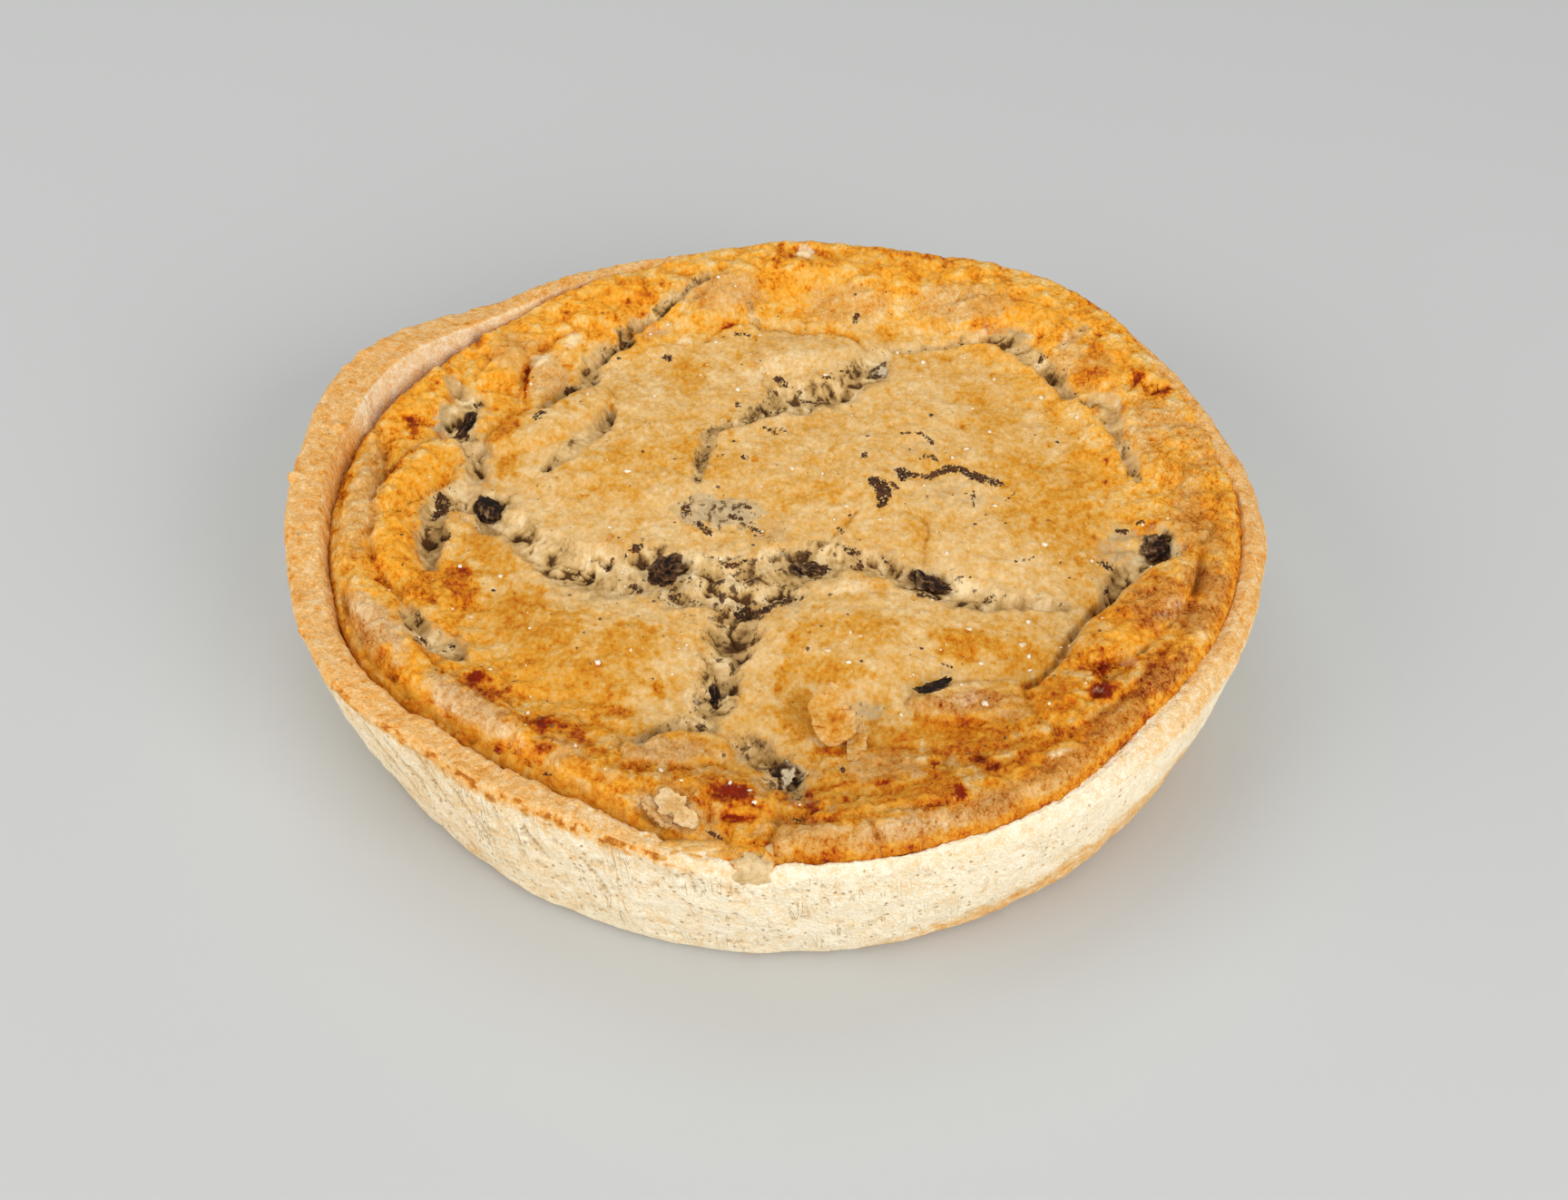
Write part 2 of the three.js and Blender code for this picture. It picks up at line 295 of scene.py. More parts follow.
@dataclass(frozen=True)
class Patch:
    """An oval patch on the chart: middle, half sizes, turn in degrees, and the value that it brings."""

    x: float
    y: float
    long: float
    wide: float
    turn: float
    value: float

    def reach(self, x: Array, y: Array) -> Array:
        """Measure how far places are from the patch.

        Args:
            x: Places along x.
            y: Places along y on the chart.

        Returns:
            Distances from the middle, with 1 at the patch's edge.
        """
        turn = math.radians(self.turn)
        right = (x - self.x) * math.cos(turn) + (y - self.y) * math.sin(turn)
        up = (y - self.y) * math.cos(turn) - (x - self.x) * math.sin(turn)
        return np.hypot(right / self.long, up / self.wide)

    def cover(self, x: Array, y: Array, edge: Pair, uneven: Array = 0.0) -> Array:
        """Return how far the patch covers each place, fading over an edge that is made uneven."""
        return fall(self.reach(x, y) + uneven, *edge)


def cracks(*rows: tuple) -> tuple[Crack, ...]:
    """Return a crack for each row of depth, openness, paleness and the points of its line."""
    return tuple(Crack(*row[:3], Trace(row[3:])) for row in rows)


def folds(*rows: tuple) -> tuple[Fold, ...]:
    """Return a fold for each row of rise and the points of its line."""
    return tuple(Fold(row[0], Trace(row[1:])) for row in rows)


def traces(*rows: tuple) -> tuple[Trace, ...]:
    """Return a line for each row of points."""
    return tuple(Trace(row) for row in rows)


def patches(*rows: tuple) -> tuple[Patch, ...]:
    """Return a patch for each row of numbers."""
    return tuple(Patch(*row) for row in rows)


CRACKS = cracks(
    (4.2, 1.0, 0.46, (-73, 1, 4), (-66, -5, 5), (-57, -14, 6.5), (-48, -20, 9), (-38, -20, 9.5),
     (-28, -21, 10), (-18, -24, 11), (-6, -24, 11.5), (4, -19, 9.5), (13, -15, 6), (21, -16, 5),
     (29, -19, 4.5), (37, -24, 5), (46, -28, 6), (53, -30, 4.5), (61, -31, 2.5), (71, -33, 2)),
    (3.8, 1.0, 0.46, (-83, 11, 4), (-77, 5, 7), (-72, -3, 5)),
    (4.8, 0.9, 0.35, (-9, -34, 6), (-11, -45, 5.5), (-12.5, -55, 4.5), (-14.5, -62, 4.5), (-17, -70, 5)),
    (4.0, 0.8, 0.44, (-18, -72, 5), (-24, -74, 2.8), (-29, -76, 2.4), (-32, -79, 2)),
    (2.4, 0.8, 0.4, (-21, 14, 1.2), (-20, 20, 2), (-19, 28, 2.3), (-17, 34, 2), (-10, 38, 2),
     (-6, 42, 3)),
    (3.2, 1.0, 0.44, (-5, 43, 3.5), (2, 48, 6), (10, 50, 6.5), (18, 54, 6.5), (25, 60, 5.5),
     (28, 67, 4.5)),
    (2.2, 0.6, 0.44, (33, 70, 2.2), (40, 71, 1.8), (48, 72, 1.8), (55, 75, 3), (62, 75, 4)),
    (3.4, 0.8, 0.36, (62, 75, 4), (68, 70, 3.6), (73, 63, 3.2), (77, 56, 2.8), (80, 49, 2.2)),
    (2.8, 0.7, 0.42, (84, 46, 2.2), (89, 47, 3.2), (90, 38, 2.8), (91, 30, 2.4), (93, 22, 2),
     (94, 14, 1.4)),
    (1.6, 0.5, 0.42, (86, 79, 1.4), (82, 74, 2), (79, 70, 1.6)),
    (3.2, 0.7, 0.42, (-21, 103, 1.8), (-26, 97, 2.2), (-32, 89, 2.4), (-37, 84, 2.8), (-42, 79, 3),
     (-43, 73, 2.8), (-48, 69, 3.2), (-52, 62, 3.2), (-51, 56, 2.5), (-57, 51, 2.8), (-63, 42, 2)),
    (4.0, 0.95, 0.48, (-89, 54, 1.8), (-84, 46, 4), (-85, 38, 5), (-85, 31, 4), (-80, 25, 3.4),
     (-79, 17, 3)),
    (4.0, 0.9, 0.36, (-86, 7, 3.8), (-88, -2, 4), (-88, -12, 3.2), (-87, -18, 2)),
    (3.2, 0.8, 0.42, (-90, -35, 1.6), (-86, -42, 3.6), (-80, -46, 3.8), (-77, -50, 2)),
    (3.6, 0.9, 0.46, (99, -7, 3), (96, -13, 4.6), (90, -19, 4), (85, -25, 3.2), (82, -32, 2.4)),
    (3.0, 0.5, 0.34, (82, -32, 2.4), (77, -38, 1.8), (72, -45, 1.5), (67, -54, 1.6), (60, -61, 1.4)),
    (2.6, 0.9, 0.4, (-61, 18, 1.4), (-57, 23, 2.4), (-51, 31, 3), (-47, 37, 2.6), (-45, 42, 1.4)),
    (3.8, 0.7, 0.38, (-9, -77, 2), (-5, -80, 4), (2, -88, 5.5)),
    (1.8, 0.5, 0.46, (-8, 91, 1), (-7, 84, 1.6), (-4, 79, 1)),
    (1.5, 0.3, 0.5, (-6, 70, 1), (-5, 62, 2.4), (-2, 54, 2)),
)

FOLDS = folds(
    (3.2, (-102, -28, 4), (-97, -36, 7), (-92, -46, 6.4), (-87, -53, 5)),
    (3.0, (-85, -59, 4.4), (-78, -63, 6.4), (-69, -69, 7), (-63, -73, 5.5)),
    (2.4, (-57, -77, 4.6), (-50, -81, 6.2), (-41, -87, 5.6), (-33, -91, 4)),
    (3.6, (-100, 4, 4), (-96, 12, 6), (-91, 21, 6.5), (-87, 25, 4.5)),
    (1.4, (-109, 30, 3), (-108, 12, 4.5), (-107, -8, 4.5), (-104, -22, 3)),
    (1.4, (-99, -2, 5), (-96, -15, 5.5), (-90, -27, 4)),
    (1.8, (-104, 38, 5), (-97, 46, 8), (-93, 56, 6)),
    (2.0, (-78, 56, 5), (-74, 64, 5), (-80, 72, 4)),
    (2.0, (-73, 29, 5), (-65, 34, 7.5), (-56, 42, 7.5), (-50, 47, 5)),
    (1.6, (-66, 46, 5), (-64, 58, 5.5), (-59, 68, 4.5), (-56, 75, 3)),
    (1.4, (-52, 84, 6), (-60, 92, 7), (-44, 98, 6)),
    (1.4, (-22, 84, 6), (-14, 93, 7), (-10, 104, 5)),
    (1.2, (14, 82, 6), (22, 92, 7), (34, 100, 7)),
    (1.2, (50, 84, 6), (64, 86, 7), (78, 78, 5)),
    (3.6, (99, -23, 4.5), (91, -33, 8), (83, -42, 7.5), (75, -49, 5)),
    (2.4, (72, -56, 5), (66, -64, 7.5), (62, -72, 6)),
    (2.2, (117, 6, 3), (113, -12, 4.5), (106, -32, 5.5), (95, -50, 7), (83, -66, 8), (69, -79, 8.5),
     (53, -90, 9), (36, -98, 8.5), (20, -103, 8), (5, -106, 6)),
    (2.2, (34, -67, 3), (44, -66, 6.5), (55, -64, 5), (58, -61, 2)),
    (2.4, (-33, -81, 3), (-22, -80, 6), (-15, -81, 5)),
    (2.2, (-38, -92, 5), (-26, -93, 6), (-14, -93, 7), (-3, -97, 4)),
    (1.4, (-50, -74, 5), (-40, -80, 5), (-36, -86, 4)),
    (1.4, (14, -88, 5), (24, -86, 6), (34, -86, 5)),
)

CREASES = traces(
    ((-107, -27, 0.8), (-104, -36, 1), (-95, -50, 1.2), (-90, -58, 1.2), (-80, -67, 1), (-70, -77, 1)),
    ((-86, -47, 0.7), (-78, -57, 0.8), (-68, -65, 1), (-60, -70, 0.8)),
    ((107, -9, 0.8), (103, -28, 0.9), (96, -44, 1), (85, -60, 1.1), (75, -70, 1), (62, -80, 0.9),
     (48, -86, 0.7)),
    ((58, -61, 0.6), (60, -66, 0.8), (61, -72, 0.8), (70, -80, 0.6)),
    ((-5, -98, 0.7), (8, -102, 0.8), (22, -100, 0.8), (38, -97, 0.6)),
    ((20, -101, 0.5), (22, -106, 0.6), (24, -112, 0.5)),
    ((-88, 30, 0.8), (-97, 24, 0.9), (-101, 14, 1), (-103, 5, 0.8)),
    ((-104, 26, 0.6), (-101, 8, 0.7), (-103, -8, 0.8), (-97, -25, 0.7)),
    ((-100, 38, 0.6), (-92, 36, 0.9), (-89, 31, 0.8)),
    ((-96, 62, 0.5), (-91, 58, 0.7), (-88, 50, 0.8)),
    ((-58, 76, 0.7), (-65, 71, 1), (-69, 64, 0.9), (-69.5, 50, 1), (-67, 42, 0.6)),
    ((37, 0, 0.5), (39, -5, 0.6), (37.5, -11, 0.7), (37, -18, 0.8)),
    ((13, -9, 0.5), (17, -3, 0.7), (21, 2, 0.4)),
    ((-46, 48, 0.4), (-45, 42, 0.7), (-45, 38, 0.6)),
    ((-20, 74, 0.6), (-16, 80, 0.8), (-9, 82, 0.8), (0, 80, 0.6), (10, 78, 0.6), (19, 77, 0.7),
     (25, 70, 0.7)),
    ((95, 50, 0.5), (99, 56, 0.9), (101, 50, 0.9), (106, 52, 0.7)),
    ((-48, -80, 0.5), (-56, -75, 0.7), (-60, -70, 0.6)),
    ((0, -100, 0.4), (-9, -100, 0.7), (-15, -99, 0.5)),
)

# Dark mushroom skins in the custard; the lines from (-8, -36) and from (-1, -33) are painted shadow in the
# crevice at the top of the fork and under the edge of the slab to its right.
DARK_SKINS_AND_SHADOWS = traces(
    ((25, 14, 1.6), (27.5, 11, 2.4), (27.5, 6, 1.6), (26.5, 4, 0.8)), ((33, 17, 2.2), (33, 15, 1.6)),
    ((30, 13, 0.7), (31.5, 11, 0.7)), ((34, 15, 0.9), (37, 16, 1), (40, 15, 1)),
    ((41, 16, 1.1), (45, 18.5, 1.6), (49, 18, 1.3)),
    ((48, 18, 1.2), (53, 15, 1.7), (57, 13, 1.7), (58.5, 13, 0.8)), ((45, 20, 0.5), (47, 20, 0.4)),
    ((33, 33, 0.4), (37, 33.5, 0.5), (40, 32, 0.9), (41.5, 29, 0.8)),
    ((38, 23, 0.7), (40, 24, 0.8), (42.5, 22, 0.7)), ((23, 25, 0.8), (23, 23.5, 0.9)),
    ((51, 10, 0.4), (51, 4, 0.5)), ((59, 6, 0.4), (62, 9, 0.5)), ((39, 8, 0.7), (39, 7, 0.5)),
    ((0, 33, 0.5), (-4, 36, 0.6), (2, 34.5, 0.7)), ((-5, 43, 1), (-2, 42, 0.7)),
    ((-11, 46, 0.7), (-10.5, 45, 0.9)), ((22, 82, 0.8), (22.5, 85, 1.1)),
    ((-12, 77, 1), (-9, 76.5, 0.7), (-7.5, 76.5, 0.6)), ((-31, 66, 1.4), (-30, 65.5, 1)),
    ((-65, 39, 1), (-63.5, 41, 1.5)), ((-57, 52, 1.9), (-58, 50.5, 1.2)),
    ((-43, 73, 1.4), (-42, 71, 1.2)), ((-21, 14, 0.9), (-20.5, 15, 0.7)),
    ((-9, 23.5, 0.9), (-8, 23, 0.8)), ((-16, 24, 0.6), (-14, 24.5, 0.5)), ((-24, 3, 1.4), (-23, 1, 1.1)),
    ((-9, 4.5, 0.9), (-7, 3, 0.7)), ((-36, -12, 1.9), (-35, -11.5, 1.2)),
    ((-38.5, -15, 0.6), (-38, -14, 0.6)), ((-50.5, -22, 0.9), (-50, -21, 0.6)),
    ((-36, -26, 1.2), (-34.5, -27.5, 1.4)), ((-26, -30, 1.2), (-24, -29, 0.8)),
    ((-43, -20, 0.7), (-42, -16, 0.6)), ((-20, -3, 1), (-18, -5.5, 1.2), (-17, -7, 0.6)),
    ((-12, 0, 1), (-9, -1, 0.7)), ((-7, -4, 0.7), (-4.5, -6, 0.9)),
    ((-14, -18, 0.7), (-11, -18.5, 1.1), (-8, -16.5, 0.8)), ((-16, -25, 0.8), (-13, -24, 0.6)),
    ((-7, -25, 0.9), (-5, -23, 0.8)), ((-14, -31, 0.5), (-14.5, -29, 0.7)),
    ((-8, -36, 2.8), (-5, -35.5, 1.6), (-2, -34, 1)), ((-1, -33, 1.2), (3, -30.5, 1.4), (6, -30, 1)),
    ((4.5, -20, 1.5), (6, -22, 1)), ((9, -21, 1.2), (12.5, -20.5, 1.6)), ((7, -16, 0.9), (8, -14, 0.9)),
    ((15.5, -4, 0.8), (16.5, -6, 0.8)), ((18, -12, 1.2), (20, -14, 1.7)),
    ((21, -18, 1), (21.5, -19, 0.7)), ((27, -16, 0.7), (29.5, -19.5, 0.8)),
    ((35, -29, 0.8), (39, -29.5, 1.2)), ((52, -32, 0.9), (54, -30, 1.2)),
    ((44, -24, 0.7), (46, -22.5, 0.5), (49, -22.5, 0.4)), ((87, -5.5, 0.8), (88.5, -6, 1.3)),
    ((92, -3, 0.6), (93.5, -2, 0.7)), ((82, -17.5, 1.2), (84, -19.5, 1.2)),
    ((82.5, -26, 0.7), (82, -29, 0.8)), ((60, -17, 0.4), (63, -16.5, 0.5), (65, -15, 0.3)),
    ((-85, -8.5, 1.5), (-84, -7.5, 1)), ((-88, 8, 1.4), (-87, 3, 1.8), (-89, -1, 1)),
    ((-88, -35, 0.8), (-86, -39, 0.6)), ((-86, -44, 0.8), (-84, -46, 0.7)),
    ((-79, -46, 0.7), (-78, -48, 0.6)), ((-52, -87, 0.9), (-51, -88, 0.6)),
    ((-15, -104, 0.5), (-12, -106, 0.9)), ((2.5, -100, 0.7), (6, -101, 0.8)),
    ((15, -86, 0.8), (15.5, -87, 0.5)), ((40, -53, 0.4), (42, -54, 0.5)), ((0, 57, 1.4), (2, 54, 1.2)),
    ((13, 57, 1), (16, 57, 0.9)), ((18, 60, 0.8), (23, 60, 0.8)),
    ((5, 46, 0.5), (9, 47, 0.6), (13, 46, 0.5)), ((-2, 51, 1), (0, 50, 0.8)),
    ((73, 64, 0.9), (74, 66, 1.1)), ((-86, 36, 0.8), (-83, 31, 0.9)),
)

# Browned and burnt spots; the rows at (13, -80.5) and (7.4, -68) are painted shadow along the bottom and
# the left edge of the curled skin.
TOASTED_AND_SHADOW_PATCHES = patches(
    (-82, -23, 8, 6, 0, 0.74), (-78, -30, 5, 6, 0, 0.74), (-87, -27, 5, 6, 0, 0.7),
    (-79, -21, 3.5, 2, 0, 0.86), (-71, -57, 3.8, 3.4, 60, 0.84), (-67, -62, 4, 1.8, -45, 0.8),
    (-53, -72, 5.5, 3, -20, 0.84), (-53, -79, 3.2, 2.6, 0, 0.82), (-64, -80, 1.6, 3, 15, 0.86),
    (-45, -84, 4, 3, -30, 0.72), (-38, -68, 4.5, 2, -25, 0.68), (-58, -50, 3, 3, 0, 0.68),
    (-28, -61, 1.6, 4, 15, 0.7), (-10, -92, 6.2, 4.2, -12, 0.84), (-8, -100, 4.5, 1.6, 0, 0.8),
    (-20, -88, 5, 2.4, -35, 0.7), (24, -90, 3, 2, 20, 0.86), (41, -92, 2.6, 3.8, 20, 0.84),
    (37, -88, 4, 2.6, -20, 0.82), (46, -83, 5.4, 2.2, -15, 0.82), (13, -80.5, 5, 1.8, 0, 0.76),
    (7.4, -68, 1.4, 9, 0, 0.68), (76, -61, 4.8, 3.8, 30, 0.86), (77, -54, 2.6, 5, -20, 0.82),
    (72, -51, 4.4, 4, 0, 0.76), (73, -50, 3.4, 4, 0, 0.78), (62, -76, 8, 2.4, 30, 0.78),
    (45, -79.5, 12, 1.8, 4, 0.78), (37, -91, 5, 3.4, 10, 0.74), (95, -5, 5, 2.6, 10, 0.68),
    (93, -48, 7, 2.4, 55, 0.62), (101, -29, 4, 3, 0, 0.62), (-97, 36, 2.6, 6.5, 10, 0.82),
    (-96, 43, 4, 6, 0, 0.58), (-99, 18, 1.6, 6, -20, 0.82), (-83, 73, 2, 3.6, 0, 0.8),
    (-91, 68, 3, 4, 0, 0.64), (-37, 95, 2.6, 7.5, 15, 0.78), (-42, 99, 4, 4, 0, 0.64),
    (-46, 83, 3.4, 2.6, 0, 0.74), (-51, 77, 3, 6, 0, 0.64), (-69, 55, 0.9, 6.5, 0, 0.86),
    (-14, 81, 3.4, 1.4, 25, 0.76), (-58, 62, 1.8, 1, 0, 0.74), (-50, 8, 1.3, 0.6, 0, 0.82),
    (86, 57, 7, 4, 20, 0.7), (99, 57, 2.6, 3.6, -30, 0.84), (104, 49.5, 5, 2, 30, 0.86),
    (88, 68, 2.4, 5, -20, 0.74), (38, 113, 14, 2.6, -12, 0.66), (60, 103, 10, 3, -30, 0.64),
    (0, 112, 1.6, 8, -8, 0.76), (112, 5, 4, 14, 0, 0.6), (104, 24, 6, 10, 0, 0.58),
    (-43, -8, 1.6, 2.4, 0, 0.66), (22, 114, 4, 3, 0, 0.62), (-93, -48, 3.4, 2.4, -40, 0.58),
    (-58, -80, 3, 5, 0, 0.66),
)

# Golden patches; the rows at (-73, 36), (-61, 48) and (-71, 20) are painted shade in the gaps between
# lumps at the back left, and the row at (13, -56) is painted shade behind the tip of the curled skin.
GOLDEN_AND_SHADE_PATCHES = patches(
    (74, 2, 10, 26, 10, 0.55), (64, 14, 7, 14, 0, 0.5), (82, 20, 8, 10, 0, 0.58),
    (60, 52, 14, 10, 0, 0.47), (58, 40, 8, 10, 0, 0.47), (22, -40, 10, 6, 0, 0.55),
    (45, -46, 9, 7, 0, 0.6), (60, -50, 8, 8, 0, 0.57), (42, -75, 18, 6.4, -4, 0.7),
    (-48, -58, 18, 11, -10, 0.58), (-36, -46, 10, 9, 0, 0.54), (-70, -15, 9, 8, 0, 0.54),
    (-64, -36, 9, 12, 0, 0.6), (-76, -8, 5, 8, 0, 0.56), (8, 10, 14, 6, 0, 0.48),
    (-20, 24, 9, 10, 0, 0.5), (-26, 58, 8, 9, 0, 0.5), (-40, 20, 14, 10, 0, 0.48),
    (-14, 95, 10, 8, 0, 0.52), (0, 96, 8, 6, 0, 0.58), (16, 86, 6, 8, 0, 0.55),
    (-75, 68, 14, 14, 0, 0.56), (-100, 48, 8, 12, 0, 0.62), (-45, 92, 10, 9, 0, 0.6),
    (4, -50, 3, 18, -15, 0.53), (5, -70, 6, 10, 0, 0.63), (24, -79, 9, 6, 0, 0.68),
    (70, 86, 14, 8, 0, 0.58), (-56, -44, 14, 12, -20, 0.56), (13, -56, 9, 6, 0, 0.56),
    (-73, 36, 4, 9, -20, 0.68), (-61, 48, 6, 4, 30, 0.66), (-71, 20, 4, 6, 0, 0.64),
    (56, -84, 12, 3.4, 36, 0.7), (70, -76, 8, 3, 45, 0.66), (-92, 16, 6, 10, -25, 0.6),
    (-95, -12, 6, 14, 0, 0.6), (65, -64, 7, 10, -25, 0.72), (20, -92, 14, 6, 0, 0.6),
    (-22, -78, 9, 5, 0, 0.58), (-6, -98, 8, 4, 0, 0.62), (90, 62, 8, 10, 0, 0.62),
    (36, 106, 18, 6, -10, 0.58), (86, -38, 9, 8, 0, 0.66),
)

BLISTERS = patches(
    (-10, -92, 4.8, 3.0, -12, 1.0), (76, -61, 3.8, 2.9, 30, 1.0), (77.5, -54.5, 1.6, 4, -20, 0.8),
    (-71, -57, 2.6, 2.2, 60, 1.0), (41, -92, 1.6, 2.8, 20, 1.0), (-54, -71.5, 2.8, 1.6, -20, 0.9),
    (46, -83, 4, 1.3, -15, 0.8), (24, -90, 2, 1.4, 20, 0.7), (-53, -79, 2.2, 1.4, 0, 0.7),
    (-8, -100, 3.2, 1.0, 0, 0.7), (-64, -80, 1.0, 2.4, 15, 0.9), (104, 49.5, 3.4, 1.1, 30, 0.6),
    (-97, 36, 1.6, 4.6, 10, 0.5), (99, 57, 1.5, 2.4, -30, 0.5), (-80, -20, 2.4, 1.4, 0, 0.5),
)

FRECKLED = patches(
    (104, 30, 10, 20, 15, 0.6), (108, 0, 8, 16, 5, 0.6), (103, -30, 8, 15, -20, 0.8),
    (91, -55, 11, 5, 54, 0.95), (79, -70, 11, 4.6, 47, 0.75), (64, -85, 12, 4.6, 40, 0.75),
    (46, -96.5, 12, 4.6, 26, 0.95), (28, -103, 13, 4.2, 10, 0.95), (9, -105, 10, 4, 0, 0.7),
    (92, -32, 7, 11, -35, 0.7), (-97, -40, 16, 6.6, -57, 0.95), (-71, -66, 15, 6, -38, 0.95),
    (-49, -80, 9, 4.6, -35, 0.7), (-106, 6, 5, 26, 0, 0.6), (-25, -80, 11, 4.6, 0, 0.8),
    (-24, -97, 9, 6, -30, 0.85), (-64, 58, 8, 12, 0, 0.6), (-16, 96, 14, 9, 0, 0.6),
    (20, 90, 14, 10, 0, 0.5), (52, 90, 16, 9, 0, 0.6), (84, 62, 9, 12, 0, 0.5),
    (24, -85, 10, 5, 10, 0.6), (44, -65, 13, 4.2, 5, 0.9), (-72, 68, 9, 9, 0, 0.5),
)

BARE = patches(
    (-15, 2, 13, 7, -5, 0.95), (86, -12, 5.5, 11, -20, 0.55), (45, 9, 13, 7, -5, 0.36),
    (38, 28, 6, 4, 0, 0.34), (66, 76, 6, 3.6, -20, 0.6), (-88, 39, 5, 9, -10, 0.75),
    (-6, -81, 5, 5, 0, 0.5), (55, -26, 4, 3, 0, 0.4), (-3, -5, 9, 5, 0, 0.4), (26, -13, 6, 3, 0, 0.4),
    (54, 6, 6, 3, 0, 0.35), (22, -68, 4.5, 3.6, 0, 0.55), (41, -55, 2.6, 3.4, 0, 0.4),
    (-76, 12, 5, 4, 0, 0.5), (-26, -98, 3, 4, 0, 0.4), (2, 78, 8, 4, 0, 0.3), (-33, 78, 7, 3, 20, 0.35),
    (-5, -113, 5, 4, 0, 0.6),
)

# Pale skin and films; the rows at (-66, 64) and (-57, 73) are pale puffs with a painted highlight, and the
# row at (75, -61) is a painted glint on the blister.
PALE_AND_HIGHLIGHT_PATCHES = patches(
    (3, 64, 16, 7, 12, 0.5), (-7, 58, 3.6, 7, -15, 0.6), (8, 115, 3, 4.5, 0, 0.85),
    (18, -26, 8, 4, 0, 0.55), (-38, -34, 12, 3, -10, 0.35), (-21, -50, 3, 12, 10, 0.45),
    (-20, -64, 3, 6, 15, 0.4), (-30, -5, 12, 4, -8, 0.4), (-58, 3, 4, 8, -25, 0.35),
    (-22, -99, 4, 4.5, 20, 0.6), (-48, 58, 3, 12, -30, 0.35), (-66, 64, 3.2, 4, 0, 0.8),
    (-57, 73, 3, 4.6, -15, 0.7), (-26, 74, 3, 2, 0, 0.6), (44, -64, 8, 3, 8, 0.4),
    (95, -34, 4, 8, -30, 0.3), (-100, -35, 3.6, 7, 40, 0.4), (-76, -66, 4, 8, 45, 0.4),
    (-60, -76, 3, 6, 45, 0.35), (-5, -116, 5, 2.4, 0, 0.7), (75, -61, 2.2, 1.5, 0, 0.35),
    (47, -27, 4, 3, 0, 0.7), (54, -29, 3, 2.4, 0, 0.6), (-40, -19, 8, 2.4, -20, 0.5),
    (-21, -15, 5, 3, 0, 0.55), (-2, -14, 6, 3, 0, 0.5), (84, -52, 3, 3, 0, 0.35),
    (64, -80, 4, 1.6, 20, 0.45), (30, -101, 12, 4, 5, 0.3),
)


@dataclass(frozen=True)
class Bump:
    """A smooth bump round one angle: where it is and its spread, in degrees, and its height."""

    at: float
    spread: float
    height: float = 1.0

    def over(self, theta: Array) -> Array:
        """Return the bump's height at the given angles."""
        return self.height * bell(theta, self.at, self.spread)


@dataclass(frozen=True)
class Swell:
    """A change of the rim round one angle, in degrees and millimetres."""

    at: float
    spread: float
    out: float
    up: float
    thick: float


@dataclass(frozen=True)
class Sizes:
    """The pastry's main sizes at each of many angles."""

    radius: Array
    height: Array
    width: Array
    foot: Array


@dataclass(frozen=True)
class RimForm:
    """The form of the pastry case round its axis. A wave is its count, turn in degrees and height."""

    radius: float = 120.0
    oval: float = 2.8
    height: float = 40.0
    width: float = 6.0
    round: float = 2.6
    foot: float = 110.0
    foot_shift: float = 2.0
    foot_shift_at: float = 330.0
    foot_round: float = 2.4
    wall: float = 7.0
    bulge: float = 1.2
    foot_swell: Bump = Bump(206, 12, 2.2)
    floor: float = 5.0
    waves: tuple[Point, ...] = ((7, 40, 0.5), (12, 110, 0.4))
    swells: tuple[Swell, ...] = (
        Swell(153, 18, 9, 2, 6),
        Swell(185, 24, 2, 0.8, 3.5),
        Swell(224, 6, -2, 0, -1.2),
        Swell(226, 20, -2.5, 0, 2.5),
        Swell(243, 13, -4.2, 0, 0),
        Swell(267.5, 3.2, -0.4, -4, 0),
        Swell(278, 8, 0, 0, -2.1),
        Swell(302, 30, 0, -0.6, -3),
        Swell(321, 17, -2, 0, 3.2),
        Swell(356, 18, 1.6, -0.6, 1),
        Swell(48, 19, 6.2, -0.4, -2),
        Swell(84, 24, 1.6, -0.8, -3),
        Swell(112, 13, -2, -0.4, -0.6),
    )

    def sizes(self, theta: Array) -> Sizes:
        """Work out the pastry's main sizes.

        Args:
            theta: Angles round the axis.

        Returns:
            The sizes at each angle.
        """
        wave = sum(size * np.sin(count * theta + math.radians(turn)) for count, turn, size in self.waves)
        radius = self.radius + self.oval * np.cos(2 * theta) + wave
        height = self.height + wave
        width = np.full(theta.shape, self.width)
        for swell in self.swells:
            bump = bell(theta, swell.at, swell.spread)
            radius = radius + swell.out * bump
            height = height + swell.up * bump
            width = width + swell.thick * bump
        shift = self.foot_shift * np.cos(theta - math.radians(self.foot_shift_at))
        return Sizes(radius, height, width, self.foot + shift + self.foot_swell.over(theta))

    def inner(self, theta: Array, z: Array) -> Array:
        """Work out the radius of the pastry's inner face.

        Args:
            theta: Angles round the axis.
            z: Heights.

        Returns:
            A radius for each point.
        """
        size = self.sizes(theta)
        share = np.clip((z - self.floor) / (size.height - self.round - self.floor), 0.0, 1.0)
        return blend(size.foot - self.wall, size.radius - size.width, share)


